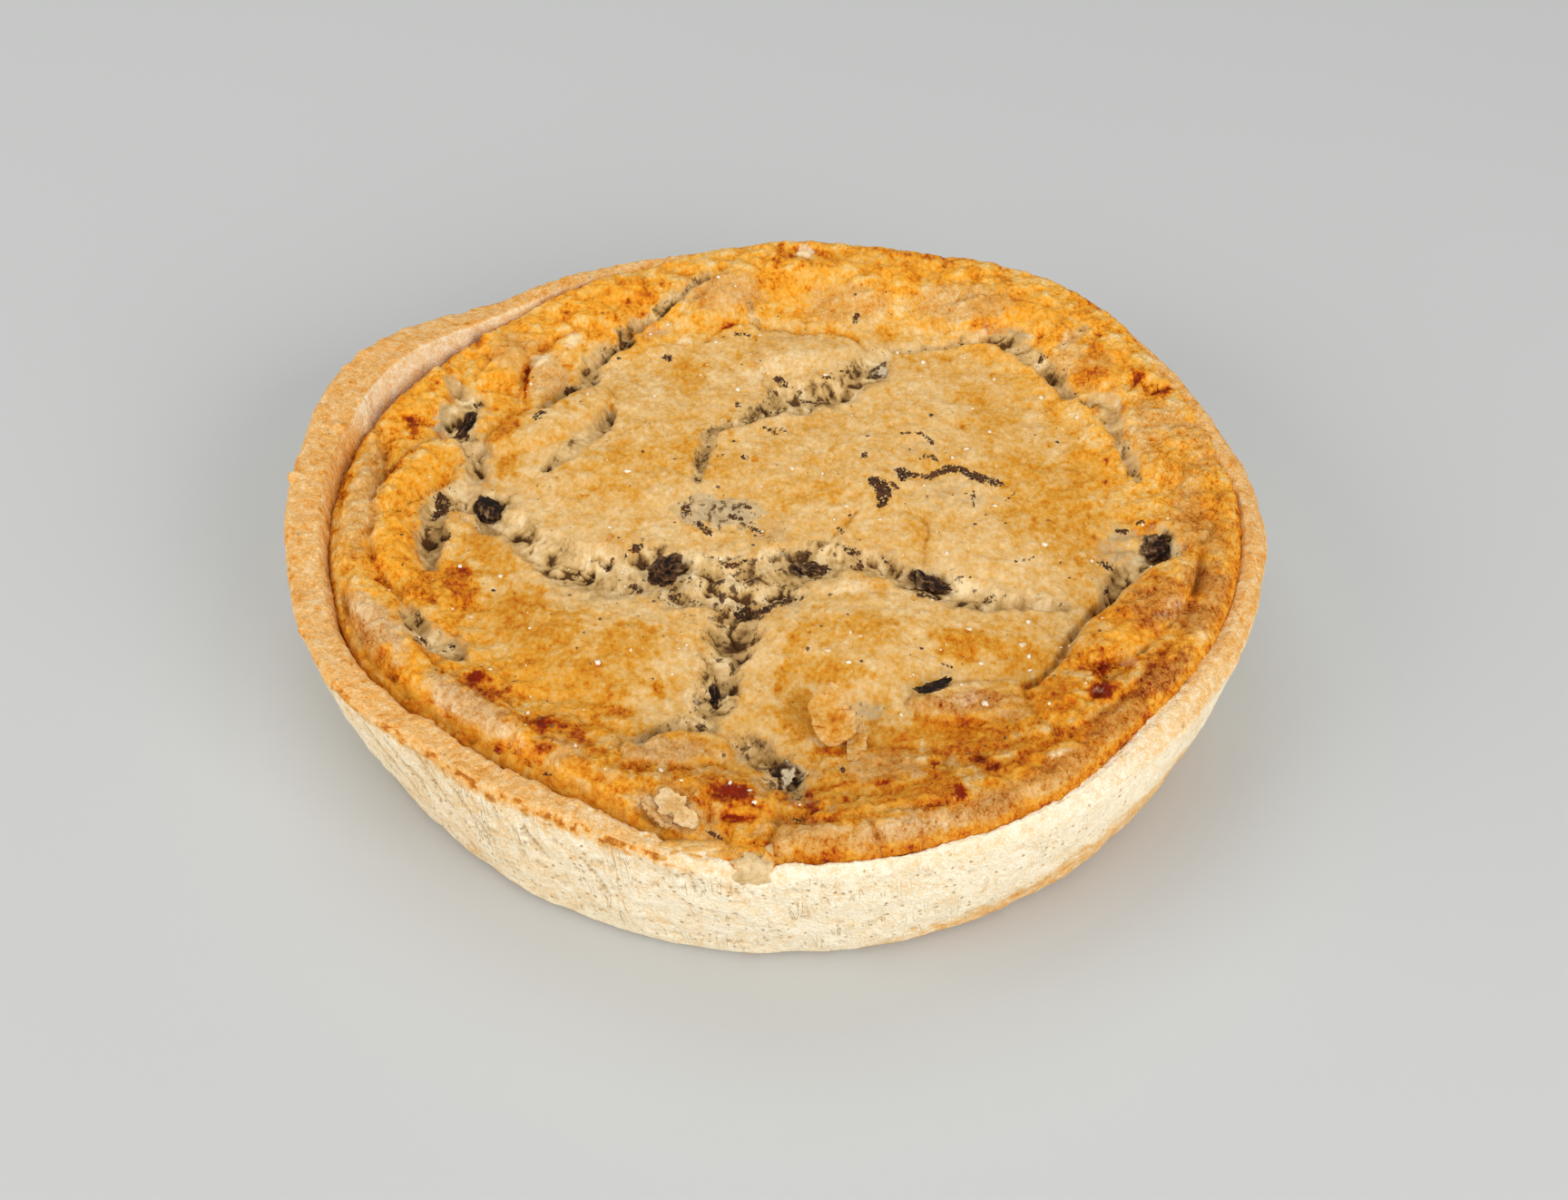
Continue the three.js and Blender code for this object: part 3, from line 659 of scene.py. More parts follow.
class Sheet:
    """Short calls that lay out the nodes of one material or node group."""

    def __init__(self, tree: bpy.types.NodeTree) -> None:
        """Start on an empty tree."""
        self.tree = tree
        tree.nodes.clear()

    def add(self, kind: str, **settings: object) -> bpy.types.Node:
        """Add a node of a kind and give it settings."""
        node = self.tree.nodes.new(kind)
        for name, value in settings.items():
            setattr(node, name, value)
        return node

    def put(self, target: Socket, value: object) -> None:
        """Link a socket to an input, or set the input to a constant."""
        if isinstance(value, bpy.types.NodeSocket):
            self.tree.links.new(value, target)
        else:
            target.default_value = value

    def attribute(self, name: str, output: str = "Fac") -> Socket:
        """Return a value that the mesh carries."""
        return self.add("ShaderNodeAttribute", attribute_name=name).outputs[output]

    def stretch(self, lay: Socket, scale: Point) -> Socket:
        """Return coordinates scaled along each axis."""
        node = self.add("ShaderNodeMapping")
        self.put(node.inputs["Vector"], lay)
        self.put(node.inputs["Scale"], scale)
        return node.outputs[0]

    def noise(self, lay: Socket, scale: object, detail: float = 3.0, rough: float = 0.55) -> Socket:
        """Return soft noise from 0 to 1.

        Args:
            lay: Coordinates in millimetres.
            scale: Cells to a millimetre, a number or a socket.
            detail: Number of finer sizes.
            rough: Strength of each finer size against the one before.

        Returns:
            The noise socket.
        """
        node = self.add("ShaderNodeTexNoise")
        self.put(node.inputs["Vector"], lay)
        self.put(node.inputs["Scale"], scale)
        self.put(node.inputs["Detail"], detail)
        self.put(node.inputs["Roughness"], rough)
        return node.outputs[0]

    def dots(self, lay: Socket, scale: float, edge: Pair, share: object) -> Socket:
        """Return dots round some of many scattered points.

        Args:
            lay: Coordinates in millimetres.
            scale: Points to a millimetre.
            edge: Distances at which a dot starts and is full.
            share: Share of the points that have a dot.

        Returns:
            The dots, from 0 to 1.
        """
        node = self.add("ShaderNodeTexVoronoi")
        self.put(node.inputs["Vector"], lay)
        self.put(node.inputs["Scale"], scale)
        draw = self.add("ShaderNodeSeparateColor")
        self.put(draw.inputs[0], node.outputs["Color"])
        chosen = self.math("LESS_THAN", draw.outputs[0], share)
        return self.math("MULTIPLY", self.rise(node.outputs["Distance"], *edge), chosen)

    def math(self, operation: str, first: object, second: object = 0.0, third: object = 0.0) -> Socket:
        """Return the result of one step of arithmetic."""
        node = self.add("ShaderNodeMath", operation=operation)
        for target, value in zip(node.inputs, (first, second, third)):
            self.put(target, value)
        return node.outputs[0]

    def rise(self, value: Socket, low: float, high: float) -> Socket:
        """Return a smooth rise from 0 at low to 1 at high."""
        node = self.add("ShaderNodeMapRange", interpolation_type="SMOOTHSTEP")
        for target, entry in zip(node.inputs, (value, low, high, 0.0, 1.0)):
            self.put(target, entry)
        return node.outputs[0]

    def winding(self, noise: Socket, low: float, high: float) -> Socket:
        """Return a rise by the distance from the winding lines along which a noise is midway."""
        return self.rise(self.math("ABSOLUTE", self.math("SUBTRACT", noise, 0.5)), low, high)

    def scale(self, value: Socket, low: float, high: float) -> Socket:
        """Return a share from 0 to 1 spread over low to high."""
        node = self.add("ShaderNodeMapRange")
        for target, entry in zip(node.inputs, (value, 0.0, 1.0, low, high)):
            self.put(target, entry)
        return node.outputs[0]

    def ramp(self, value: Socket, stops: tuple[tuple[float, Colour], ...]) -> Socket:
        """Lay out a row of colours.

        Args:
            value: Where along the row.
            stops: Places from 0 to 1 and their colours.

        Returns:
            The colour there.
        """
        node = self.add("ShaderNodeValToRGB")
        band = node.color_ramp.elements
        while len(band) < len(stops):
            band.new(0.5)
        for entry, (place, colour) in zip(band, stops):
            entry.position = place
            entry.color = (*colour, 1.0)
        self.put(node.inputs[0], value)
        return node.outputs[0]

    def mix(self, share: object, first: object, second: object, way: str = "MIX") -> Socket:
        """Mix two colours, each a socket or a constant.

        Args:
            share: Share of the second colour.
            first: One colour.
            second: The other colour.
            way: How they are mixed.

        Returns:
            The mixed colour.
        """
        node = self.add("ShaderNodeMix", data_type="RGBA", blend_type=way)
        self.put(node.inputs[0], share)
        for target, value in ((node.inputs[6], first), (node.inputs[7], second)):
            self.put(target, value if isinstance(value, bpy.types.NodeSocket) else (*value, 1.0))
        return node.outputs[2]

    def bump(self, height: Socket, distance: float, strength: float) -> Socket:
        """Tilt the surface by a height.

        Args:
            height: The height, from 0 to 1.
            distance: Millimetres that a height of 1 stands for.
            strength: How strongly it shows.

        Returns:
            The tilted normal.
        """
        node = self.add("ShaderNodeBump")
        self.put(node.inputs["Height"], height)
        self.put(node.inputs["Distance"], distance * MM)
        self.put(node.inputs["Strength"], strength)
        return node.outputs[0]

    def group(self, tree: bpy.types.NodeTree, **values: object) -> Socket:
        """Use a shared group and return its first output."""
        node = self.add("ShaderNodeGroup", node_tree=tree)
        for name, value in values.items():
            self.put(node.inputs[name], value)
        return node.outputs[0]


class Effects:
    """Node groups that more than one finish uses, each made once."""

    def __init__(self) -> None:
        """Make the groups."""
        self.mottle = self.make_mottle()
        self.relief = self.make_relief()
        self.crinkle = self.make_crinkle()

    @staticmethod
    def start(name: str, numbers: tuple[str, ...], output: str) -> tuple[Sheet, dict, Socket]:
        """Open a new group.

        Args:
            name: The group's name.
            numbers: Names of its inputs beside the coordinates.
            output: Name of its one output.

        Returns:
            The sheet to lay nodes on, the input sockets by name, and the socket that takes the result.
        """
        tree = bpy.data.node_groups.new(name, "ShaderNodeTree")
        tree.interface.new_socket(name="Lay", in_out="INPUT", socket_type="NodeSocketVector")
        for label in numbers:
            tree.interface.new_socket(name=label, in_out="INPUT", socket_type="NodeSocketFloat")
        tree.interface.new_socket(name=output, in_out="OUTPUT", socket_type="NodeSocketFloat")
        sheet = Sheet(tree)
        entry = sheet.add("NodeGroupInput")
        leave = sheet.add("NodeGroupOutput")
        return sheet, {label: entry.outputs[label] for label in ("Lay", *numbers)}, leave.inputs[output]

    def make_mottle(self) -> bpy.types.NodeTree:
        """Make the group that breaks up a mask by noise of two sizes, as uneven baking does."""
        numbers = ("Mask", "Coarse", "Fine", "Spread")
        sheet, entry, result = self.start("baked mottling", numbers, "Mask")
        coarse = sheet.noise(entry["Lay"], entry["Coarse"], 3.0, 0.55)
        fine = sheet.noise(entry["Lay"], entry["Fine"], 2.0, 0.5)
        both = sheet.math("ADD", coarse, fine)
        uneven = sheet.math("SUBTRACT", both, 1.0)
        sheet.put(result, sheet.math("MULTIPLY_ADD", uneven, entry["Spread"], entry["Mask"]))
        return sheet.tree

    def make_relief(self) -> bpy.types.NodeTree:
        """Make the group for the fine bumps of a baked skin."""
        sheet, entry, result = self.start("baked relief", ("Size",), "Height")
        soft = sheet.noise(entry["Lay"], entry["Size"], 4.0, 0.6)
        dots = sheet.add("ShaderNodeTexVoronoi")
        sheet.put(dots.inputs["Vector"], entry["Lay"])
        sheet.put(dots.inputs["Scale"], entry["Size"])
        sheet.put(result, sheet.math("MULTIPLY_ADD", dots.outputs["Distance"], -0.35, soft))
        return sheet.tree

    def make_crinkle(self) -> bpy.types.NodeTree:
        """Make the group for crags and fine winding furrows, from 0 in the furrows to 1 on the crags."""
        sheet, entry, result = self.start("baked crinkle", ("Size",), "Height")
        crags = sheet.rise(sheet.noise(entry["Lay"], entry["Size"], 2.5, 0.5), 0.34, 0.66)
        winding = sheet.noise(entry["Lay"], sheet.math("MULTIPLY", entry["Size"], 1.5), 2.0, 0.5)
        furrow = sheet.winding(winding, 0.0, 0.12)
        sheet.put(result, sheet.math("MULTIPLY_ADD", furrow, 0.4, sheet.math("MULTIPLY", crags, 0.6)))
        return sheet.tree

    def broken(self, sheet: Sheet, lay: Socket, mask: str, coarse: float, fine: float,
               spread: object) -> Socket:
        """Return a mask that the mesh carries, broken up by a coarse and a fine noise."""
        held = sheet.attribute(mask)
        return sheet.group(self.mottle, Lay=lay, Mask=held, Coarse=coarse, Fine=fine, Spread=spread)


def start_finish(name: str) -> tuple[Sheet, bpy.types.Material, bpy.types.Node]:
    """Open a new material.

    Args:
        name: The material's name.

    Returns:
        The sheet to lay nodes on, the material, and its surface shader.
    """
    material = bpy.data.materials.new(name)
    material.use_nodes = True
    sheet = Sheet(material.node_tree)
    surface = sheet.add("ShaderNodeBsdfPrincipled")
    out = sheet.add("ShaderNodeOutputMaterial")
    sheet.put(out.inputs["Surface"], surface.outputs[0])
    return sheet, material, surface


@dataclass(frozen=True)
class PastryFinish:
    """Baked shortcrust: cream on the wall, golden where the oven caught it, with pits and hairlines; the
    pits, the front left wall and the back left inner side also carry painted shade and light.
    """

    stages: tuple[float, ...] = (0.0, 0.2, 0.46, 0.6, 0.78, 0.95)
    flour: Colour = (0.96, 0.86, 0.66)
    cream: Colour = (0.90, 0.75, 0.51)
    tan: Colour = (0.83, 0.52, 0.22)
    gold: Colour = (0.79, 0.42, 0.125)
    orange: Colour = (0.73, 0.29, 0.035)
    brown: Colour = (0.42, 0.13, 0.015)
    # Brown of the pits, splits and hairlines, partly painted shade in them.
    pit: Colour = (0.52, 0.33, 0.14)

    def material(self, effects: Effects) -> bpy.types.Material:
        """Make the material.

        Args:
            effects: The shared groups.

        Returns:
            The material.
        """
        sheet, material, surface = start_finish("baked pastry")
        lay = sheet.attribute("lay", "Vector")
        grit = sheet.group(effects.crinkle, Lay=lay, Size=0.75)
        gold = effects.broken(sheet, lay, "gold", 0.25, 1.7, 0.4)
        tone = sheet.math("MULTIPLY_ADD", sheet.math("SUBTRACT", 0.5, grit), 0.24, gold)
        colours = (self.flour, self.cream, self.tan, self.gold, self.orange, self.brown)
        baked = sheet.ramp(tone, tuple(zip(self.stages, colours)))
        worn = sheet.attribute("worn")
        lines = sheet.noise(sheet.stretch(lay, (0.7, 0.7, 0.07)), 1.0, 1.5, 0.4)
        thin = sheet.winding(lines, 0.026, 0.005)
        here = sheet.rise(sheet.noise(lay, 0.12, 2.0), 0.5, 0.6)
        hair = sheet.math("MULTIPLY", sheet.math("MULTIPLY", thin, here), worn)
        # Pits, splits and hairlines are painted brown: partly browned crumb, partly painted shade in these
        # hollows.
        hole = sheet.dots(lay, 0.52, (0.32, 0.12), sheet.scale(worn, 0.05, 0.42))
        marks = sheet.math("MAXIMUM", sheet.math("MULTIPLY", hair, 0.7), sheet.math("MULTIPLY", hole, 0.9))
        marked = sheet.mix(sheet.math("MAXIMUM", marks, sheet.attribute("split")), baked, self.pit)
        sheet.put(surface.inputs["Base Color"], marked)
        grain = sheet.group(effects.relief, Lay=lay, Size=1.3)
        height = sheet.math("MULTIPLY_ADD", marks, -0.6, sheet.math("MULTIPLY_ADD", grit, 0.5, grain))
        sheet.put(surface.inputs["Normal"], sheet.bump(height, 0.6, 0.8))
        sheet.put(surface.inputs["Roughness"], sheet.scale(sheet.rise(tone, 0.2, 0.8), 0.85, 0.62))
        surface.inputs["Specular IOR Level"].default_value = 0.12
        return material


@dataclass(frozen=True)
class CustardFinish:
    """Baked egg custard: tan, glowing or dry skin, and a pale curdled inside where it cracked; its marks
    also carry painted shade and painted highlights.
    """

    stages: tuple[float, ...] = (0.0, 0.24, 0.42, 0.58, 0.75, 0.88, 1.0)
    plain: tuple[Colour, ...] = (
        (0.82, 0.62, 0.36), (0.74, 0.485, 0.205), (0.68, 0.38, 0.102), (0.63, 0.28, 0.024),
        (0.54, 0.165, 0.004), (0.38, 0.06, 0.002), (0.16, 0.012, 0.001),
    )
    glowing: tuple[Colour, ...] = (
        (0.86, 0.66, 0.38), (0.80, 0.535, 0.21), (0.80, 0.425, 0.08), (0.82, 0.35, 0.022),
        (0.66, 0.205, 0.005), (0.44, 0.08, 0.002), (0.18, 0.015, 0.001),
    )
    dry: tuple[Colour, ...] = (
        (0.80, 0.61, 0.39), (0.70, 0.48, 0.245), (0.60, 0.35, 0.145), (0.52, 0.245, 0.06),
        (0.43, 0.145, 0.016), (0.30, 0.06, 0.004), (0.14, 0.012, 0.001),
    )
    blister: Colour = (0.20, 0.012, 0.0)
    curd_shade_deep: Colour = (0.105, 0.044, 0.012)
    curd_olive_shade: Colour = (0.42, 0.25, 0.08)
    curd: Colour = (0.64, 0.42, 0.175)
    curd_pale: Colour = (0.86, 0.67, 0.39)
    grey: Colour = (0.46, 0.35, 0.20)
    # Colour of pale torn skin and films, also used for the painted highlights of the pale patches.
    torn: Colour = (0.88, 0.69, 0.40)
    # Dark colours of flecks and mushroom skins, also used for the painted shadow lines of the skin table.
    stained_and_shaded: Colour = (0.13, 0.07, 0.03)
    skin: Colour = (0.022, 0.012, 0.007)
    skin_brown: Colour = (0.15, 0.05, 0.014)

    def material(self, effects: Effects) -> bpy.types.Material:
        """Make the material.

        Args:
            effects: The shared groups.

        Returns:
            The material.
        """
        sheet, material, surface = start_finish("baked custard")
        lay = sheet.attribute("lay", "Vector")
        ring = sheet.attribute("ring")
        bare = sheet.attribute("bare")
        matt = sheet.attribute("dry")
        crags = sheet.group(effects.crinkle, Lay=lay, Size=0.36)
        mask = effects.broken(sheet, lay, "toast", 0.16, 0.9, sheet.scale(matt, 0.56, 0.3))
        spot = sheet.dots(lay, 0.14, (0.2, 0.08), 0.34)
        freckle = sheet.dots(lay, 0.6, (0.34, 0.1), 0.4)
        crackle = sheet.winding(sheet.noise(lay, 0.62, 3.0, 0.6), 0.032, 0.006)
        crackled = sheet.scale(sheet.math("MAXIMUM", ring, matt), 0.05, 0.24)
        lined = sheet.math("MULTIPLY_ADD", crackle, crackled, mask)
        spotted = sheet.math("MULTIPLY_ADD", spot, 0.2, lined)
        toast = sheet.math("MULTIPLY_ADD", freckle, sheet.scale(matt, 0.09, 0.22), spotted)
        # Darker in the furrows of the crinkle and paler on its crags, more so on the ring: partly
        # browning, partly painted shade.
        low = sheet.math("SUBTRACT", 0.5, crags)
        tone = sheet.math("MULTIPLY_ADD", low, sheet.scale(ring, 0.1, 0.25), toast)
        rows = (self.plain, self.glowing, self.dry)
        plain, glowing, dry = (sheet.ramp(tone, tuple(zip(self.stages, colours))) for colours in rows)
        crust = sheet.mix(matt, sheet.mix(sheet.attribute("glow"), plain, glowing), dry)
        blistered = effects.broken(sheet, lay, "blister", 0.5, 1.6, 1.2)
        blister = sheet.math("MULTIPLY", blistered, sheet.rise(sheet.attribute("blister"), 0.02, 0.3))
        baked = sheet.mix(sheet.rise(blister, 0.25, 0.95), crust, self.blister)
        drawn = sheet.stretch(sheet.attribute("fibre", "Vector"), (0.7, 0.09, 1.0))
        threads = sheet.noise(drawn, 1.0, 3.0, 0.55)
        clots = effects.broken(sheet, lay, "curd", 0.3, 0.9, 0.5)
        depth = sheet.math("MULTIPLY_ADD", sheet.math("SUBTRACT", threads, 0.5), 0.8, clots)
        # Deep and olive where the curd value is low in the hollows of the cracks: painted shade; pale on
        # the pulled strands.
        soft = sheet.ramp(depth, ((0.0, self.curd_shade_deep), (0.2, self.curd_olive_shade), (0.46, self.curd),
                                  (0.84, self.curd_pale)))
        clear = sheet.mix(sheet.attribute("grey"), soft, self.grey)
        grains = sheet.noise(lay, 0.5, 4.0, 0.65)
        fleck = sheet.rise(sheet.math("MULTIPLY_ADD", sheet.attribute("fleck"), 0.09, grains), 0.65, 0.71)
        inside = sheet.mix(fleck, clear, self.stained_and_shaded)
        ragged = effects.broken(sheet, lay, "bare", 0.4, 1.4, 0.8)
        opened = sheet.mix(sheet.rise(ragged, 0.15, 0.8), baked, inside)
        pale = effects.broken(sheet, lay, "pale", 0.35, 1.1, 0.8)
        torn = sheet.mix(sheet.rise(pale, 0.12, 1.0), opened, self.torn)
        # The dark mask holds the mushroom skins, and painted shadow in a crevice and under a slab edge.
        broken = effects.broken(sheet, lay, "dark", 0.6, 1.8, 1.8)
        flecked = sheet.math("MULTIPLY", broken, sheet.rise(sheet.attribute("dark"), 0.02, 0.3))
        stained_and_shaded = sheet.mix(sheet.rise(flecked, 0.25, 0.75), torn, self.stained_and_shaded)
        skins_and_shadows = sheet.ramp(sheet.noise(lay, 0.6, 3.0), ((0.46, self.skin), (0.7, self.skin_brown)))
        marked = sheet.mix(sheet.rise(flecked, 0.5, 0.72), stained_and_shaded, skins_and_shadows)
        sheet.put(surface.inputs["Base Color"], marked)
        fine = sheet.group(effects.relief, Lay=lay, Size=1.1)
        skin = sheet.math("MULTIPLY", crags, sheet.scale(ring, 0.3, 1.0))
        soft_threads = sheet.math("MULTIPLY", threads, 0.4)
        rough = sheet.math("MULTIPLY_ADD", bare, sheet.math("SUBTRACT", soft_threads, skin), skin)
        height = sheet.math("MULTIPLY_ADD", fine, 0.2, rough)
        sheet.put(surface.inputs["Normal"], sheet.bump(height, 0.7, 0.8))
        glaze = sheet.math("MAXIMUM", sheet.rise(tone, 0.4, 1.2), blister)
        sheet.put(surface.inputs["Roughness"], sheet.scale(glaze, 0.5, 0.24))
        surface.inputs["Specular IOR Level"].default_value = 0.07
        return material


@dataclass(frozen=True)
class MushroomFinish:
    """Cooked mushroom: dark wet skin, and grey flesh where a slice shows its inside."""

    stages: tuple[float, ...] = (0.1, 0.3, 0.55, 0.8)
    skin: Colour = (0.012, 0.007, 0.004)
    skin_brown: Colour = (0.075, 0.028, 0.009)
    gill: Colour = (0.21, 0.13, 0.06)
    flesh: Colour = (0.62, 0.50, 0.33)

    def material(self, effects: Effects) -> bpy.types.Material:
        """Make the material.

        Args:
            effects: The shared groups.

        Returns:
            The material.
        """
        sheet, material, surface = start_finish("cooked mushroom")
        lay = sheet.attribute("lay", "Vector")
        tone = effects.broken(sheet, lay, "flesh", 0.5, 1.6, 0.4)
        colours = (self.skin, self.skin_brown, self.gill, self.flesh)
        colour = sheet.ramp(tone, tuple(zip(self.stages, colours)))
        sheet.put(surface.inputs["Base Color"], colour)
        height = sheet.group(effects.relief, Lay=lay, Size=1.1)
        sheet.put(surface.inputs["Normal"], sheet.bump(height, 0.4, 0.6))
        sheet.put(surface.inputs["Roughness"], sheet.scale(sheet.rise(tone, 0.1, 0.8), 0.35, 0.65))
        surface.inputs["Specular IOR Level"].default_value = 0.1
        return material


@dataclass(frozen=True)
class SpeckFinish:
    """Small bits on the skin: a body colour that varies from bit to bit and within it."""

    name: str
    low: Colour
    high: Colour
    rough: float

    def material(self, effects: Effects) -> bpy.types.Material:
        """Make the material.

        Args:
            effects: The shared groups.

        Returns:
            The material.
        """
        sheet, material, surface = start_finish(self.name)
        lay = sheet.attribute("lay", "Vector")
        tone = effects.broken(sheet, lay, "draw", 1.2, 3.0, 0.3)
        sheet.put(surface.inputs["Base Color"], sheet.ramp(tone, ((0.15, self.low), (0.85, self.high))))
        height = sheet.group(effects.relief, Lay=lay, Size=2.5)
        sheet.put(surface.inputs["Normal"], sheet.bump(height, 0.15, 0.5))
        surface.inputs["Roughness"].default_value = self.rough
        return material


def make_piece(name: str, points: Array, faces: Array, values: dict[str, Array]) -> bpy.types.Object:
    """Make a smooth mesh piece that rides on the quiche.

    Args:
        name: The piece's name.
        points: Places in millimetres, one row each.
        faces: Corner numbers, one row for each face.
        values: Numbers or vectors that each point carries for its finish.

    Returns:
        The new piece.
    """
    mesh = bpy.data.meshes.new(name)
    mesh.from_pydata((points * MM).tolist(), [], faces.tolist())
    for label, entry in values.items():
        vector = entry.ndim == 2
        layer = mesh.attributes.new(label, "FLOAT_VECTOR" if vector else "FLOAT", "POINT")
        layer.data.foreach_set("vector" if vector else "value", entry.astype(np.float32).ravel())
    mesh.polygons.foreach_set("use_smooth", np.ones(len(mesh.polygons), bool))
    mesh.update()
    piece = bpy.data.objects.new(name, mesh)
    bpy.context.scene.collection.objects.link(piece)
    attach(piece, "root")
    log.info("%s: %d points, %d faces", name, len(points), len(faces))
    return piece


def ball(rounds: int) -> tuple[Array, Array]:
    """Return the points and triangles of a finely divided ball of radius 1, to be shaped further.

    Args:
        rounds: How often its faces are divided.

    Returns:
        Points and faces.
    """
    work = bmesh.new()
    bmesh.ops.create_icosphere(work, subdivisions=rounds, radius=1.0)
    points = np.array([vertex.co[:] for vertex in work.verts])
    faces = np.array([[vertex.index for vertex in face.verts] for face in work.faces])
    work.free()
    return points, faces


@dataclass
class PastryCase:
    """The pastry case: underside, wall, rim and the part of the inner face that shows."""

    rim: RimForm
    columns: int = 1000
    hidden: tuple[float, ...] = (6.0, 12.0)
    underside: float = 16.0
    runs: tuple[int, ...] = (4, 5, 15, 15, 16, 8, 9, 8, 7, 4)
    rounding: int = 2
    seed: int = 11
    slant: float = 0.0008
    arc: float = 118.0
    crumbs: tuple[tuple[float, float, float, float], ...] = (
        (174.6, 5.5, 1.8, 1.4), (151.5, 5.5, 2.6, 0.8), (148.0, 5.6, 1.6, 0.7), (154.5, 5.6, 1.6, 0.6),
        (200.5, 5.4, 1.4, 0.7), (165.0, 7.0, 1.6, 0.9),
    )

    lines: tuple[tuple[float, float, float, float, float], ...] = (
        (215.0, 37.0, 222.0, 14.0, 0.7), (218.5, 36.0, 224.0, 20.0, 0.6), (223.0, 38.0, 229.0, 22.0, 0.6),
        (229.0, 34.0, 235.0, 18.0, 0.5), (239.0, 33.0, 243.0, 22.0, 0.5), (247.0, 30.0, 251.0, 17.0, 0.4),
    )

    def section(self, theta: Array) -> tuple[Array, Array]:
        """Return radius and height of the section's corners, one row for each angle.

        Args:
            theta: Angles round the axis.

        Returns:
            Radii and heights.
        """
        rim = self.rim
        size = rim.sizes(theta)
        soft = np.clip(bell(theta, 308, 34) + 0.7 * bell(theta, 352, 22), 0.0, 1.0)
        ridge = bell(theta, 184, 18)
        round_in = np.minimum(blend(1.3, 4.2, soft), 0.5 * size.width)
        shoulder = size.height - blend(1.6, 4.6, soft)
        corners = [(size.foot - self.underside, 0 * theta), (size.foot - rim.foot_round, 0 * theta)]
        for share in (0.0, 1 / 3, 2 / 3, 1.0):
            out = blend(size.foot, size.radius, share) + rim.bulge * math.sin(math.pi * share)
            corners.append((out, blend(rim.foot_round, shoulder, share)))
        corners.append((size.radius - round_in, size.height))
        inner = size.radius - size.width
        crest = np.minimum(0.9, 0.3 * size.width)
        corners.append((inner + crest, size.height + 0.5 * ridge))
        corners.append((inner, size.height - 1.0))
        for drop in self.hidden:
            low = size.height - rim.round - drop
            corners.append((rim.inner(theta, low), low))
        radii = np.stack([corner[0] for corner in corners], axis=1)
        heights = np.stack([corner[1] for corner in corners], axis=1)
        return radii, heights

    @staticmethod
    def pale_lit_side(theta: Array) -> Array:
        """Return where the rim's inner side at the back left is painted pale, partly its own colour and
        partly painted light, from 0 to 1.
        """
        turn = np.degrees(theta) % 360.0
        return smoothstep(turn, 108.0, 136.0) * fall(turn, 160.0, 165.5)

    def rows(self) -> Array:
        """Return where each row lies along the section's corners."""
        parts = [start + np.arange(count) / count for start, count in enumerate(self.runs)]
        return np.concatenate([*parts, [float(len(self.runs))]])

    def build(self) -> bpy.types.Object:
        """Build the case with its relief and the values that its finish reads.

        Returns:
            The new piece.
        """
        grain = Grain(self.seed)
        theta = np.arange(self.columns) * TURN / self.columns
        radii, heights = self.section(theta)
        rows = self.rows()
        start = np.minimum(rows.astype(int), len(self.runs) - 1)
        r, z = (
            soften(blend(corner[:, start], corner[:, start + 1], rows - start).T, self.rounding).T
            for corner in (radii, heights)
        )
        steps = np.hypot(np.diff(r, axis=1), np.diff(z, axis=1))
        length = np.concatenate([np.zeros((self.columns, 1)), np.cumsum(steps, axis=1)], axis=1)
        turn = np.repeat(theta[:, None], rows.size, axis=1)
        across = np.repeat(rows[None, :], self.columns, axis=0)
        slanted = turn + self.slant * z
        around = slanted / TURN

        wall = smoothstep(across, 2.0, 2.4) * fall(across, 4.85, 5.2)
        crown = smoothstep(across, 5.0, 5.5)
        rough_left = bell(turn, 236, 30)
        chalky = np.clip(0.35 + bell(turn, 245, 38), 0.0, 1.2)
        push = 0.45 * grain.layers(around * 52, length / 14, 3, 52)
        crumb = grain.layers(around * 170, length / 4.2, 3, 170)
        wrinkle = grain.layers(around * 300, z / 13, 2, 300)
        near_top = smoothstep(z, 20.0, 36.0) * (bell(turn, 270, 16) + 0.5 * bell(turn, 232, 22) + 0.15)
        push += wall * (0.17 * chalky * crumb + 0.5 * near_top * wrinkle)
        pits, draw = grain.spots(around * 150 + 0.3 * crumb, length / 4.6, 150)
        pit = np.where(draw < 0.26 * chalky, fall(pits, 0.1, 0.26), 0.0) * wall
        push -= 0.5 * pit
        push += crown * 0.3 * grain.layers(around * 400, length / 1.9, 2, 400)
        push += crown * 0.2 * grain.layers(around * 130, length / 6, 3, 130)
        ragged = hump(across, 7.7, 0.8) * (0.25 + 0.9 * rough_left)
        push += ragged * 0.75 * grain.layers(around * 120, length / 6, 4, 120)
        edge = hump(across, 5.5, 0.6)
        push += edge * 0.25 * grain.layers(around * 190, length / 4, 3, 190)
        for at, place, half, rise in self.crumbs:
            away = np.hypot((np.degrees(turn) - at) / half * 2.06, (across - place) / 0.7)
            push += rise * np.clip(1.0 - (away + 0.5 * crumb) ** 2, 0.0, 1.0)
        split = np.maximum(self.splits(turn, z, grain) * wall, 0.5 * pit)
        push -= 0.7 * split * wall

        out_r = np.gradient(z, axis=1)
        out_z = -np.gradient(r, axis=1)
        size = np.hypot(out_r, out_z) + 1e-9
        keep = smoothstep(across, 1.0, 2.0)
        r = r + push * keep * out_r / size
        z = np.maximum(z + push * keep * out_z / size, 0.0)

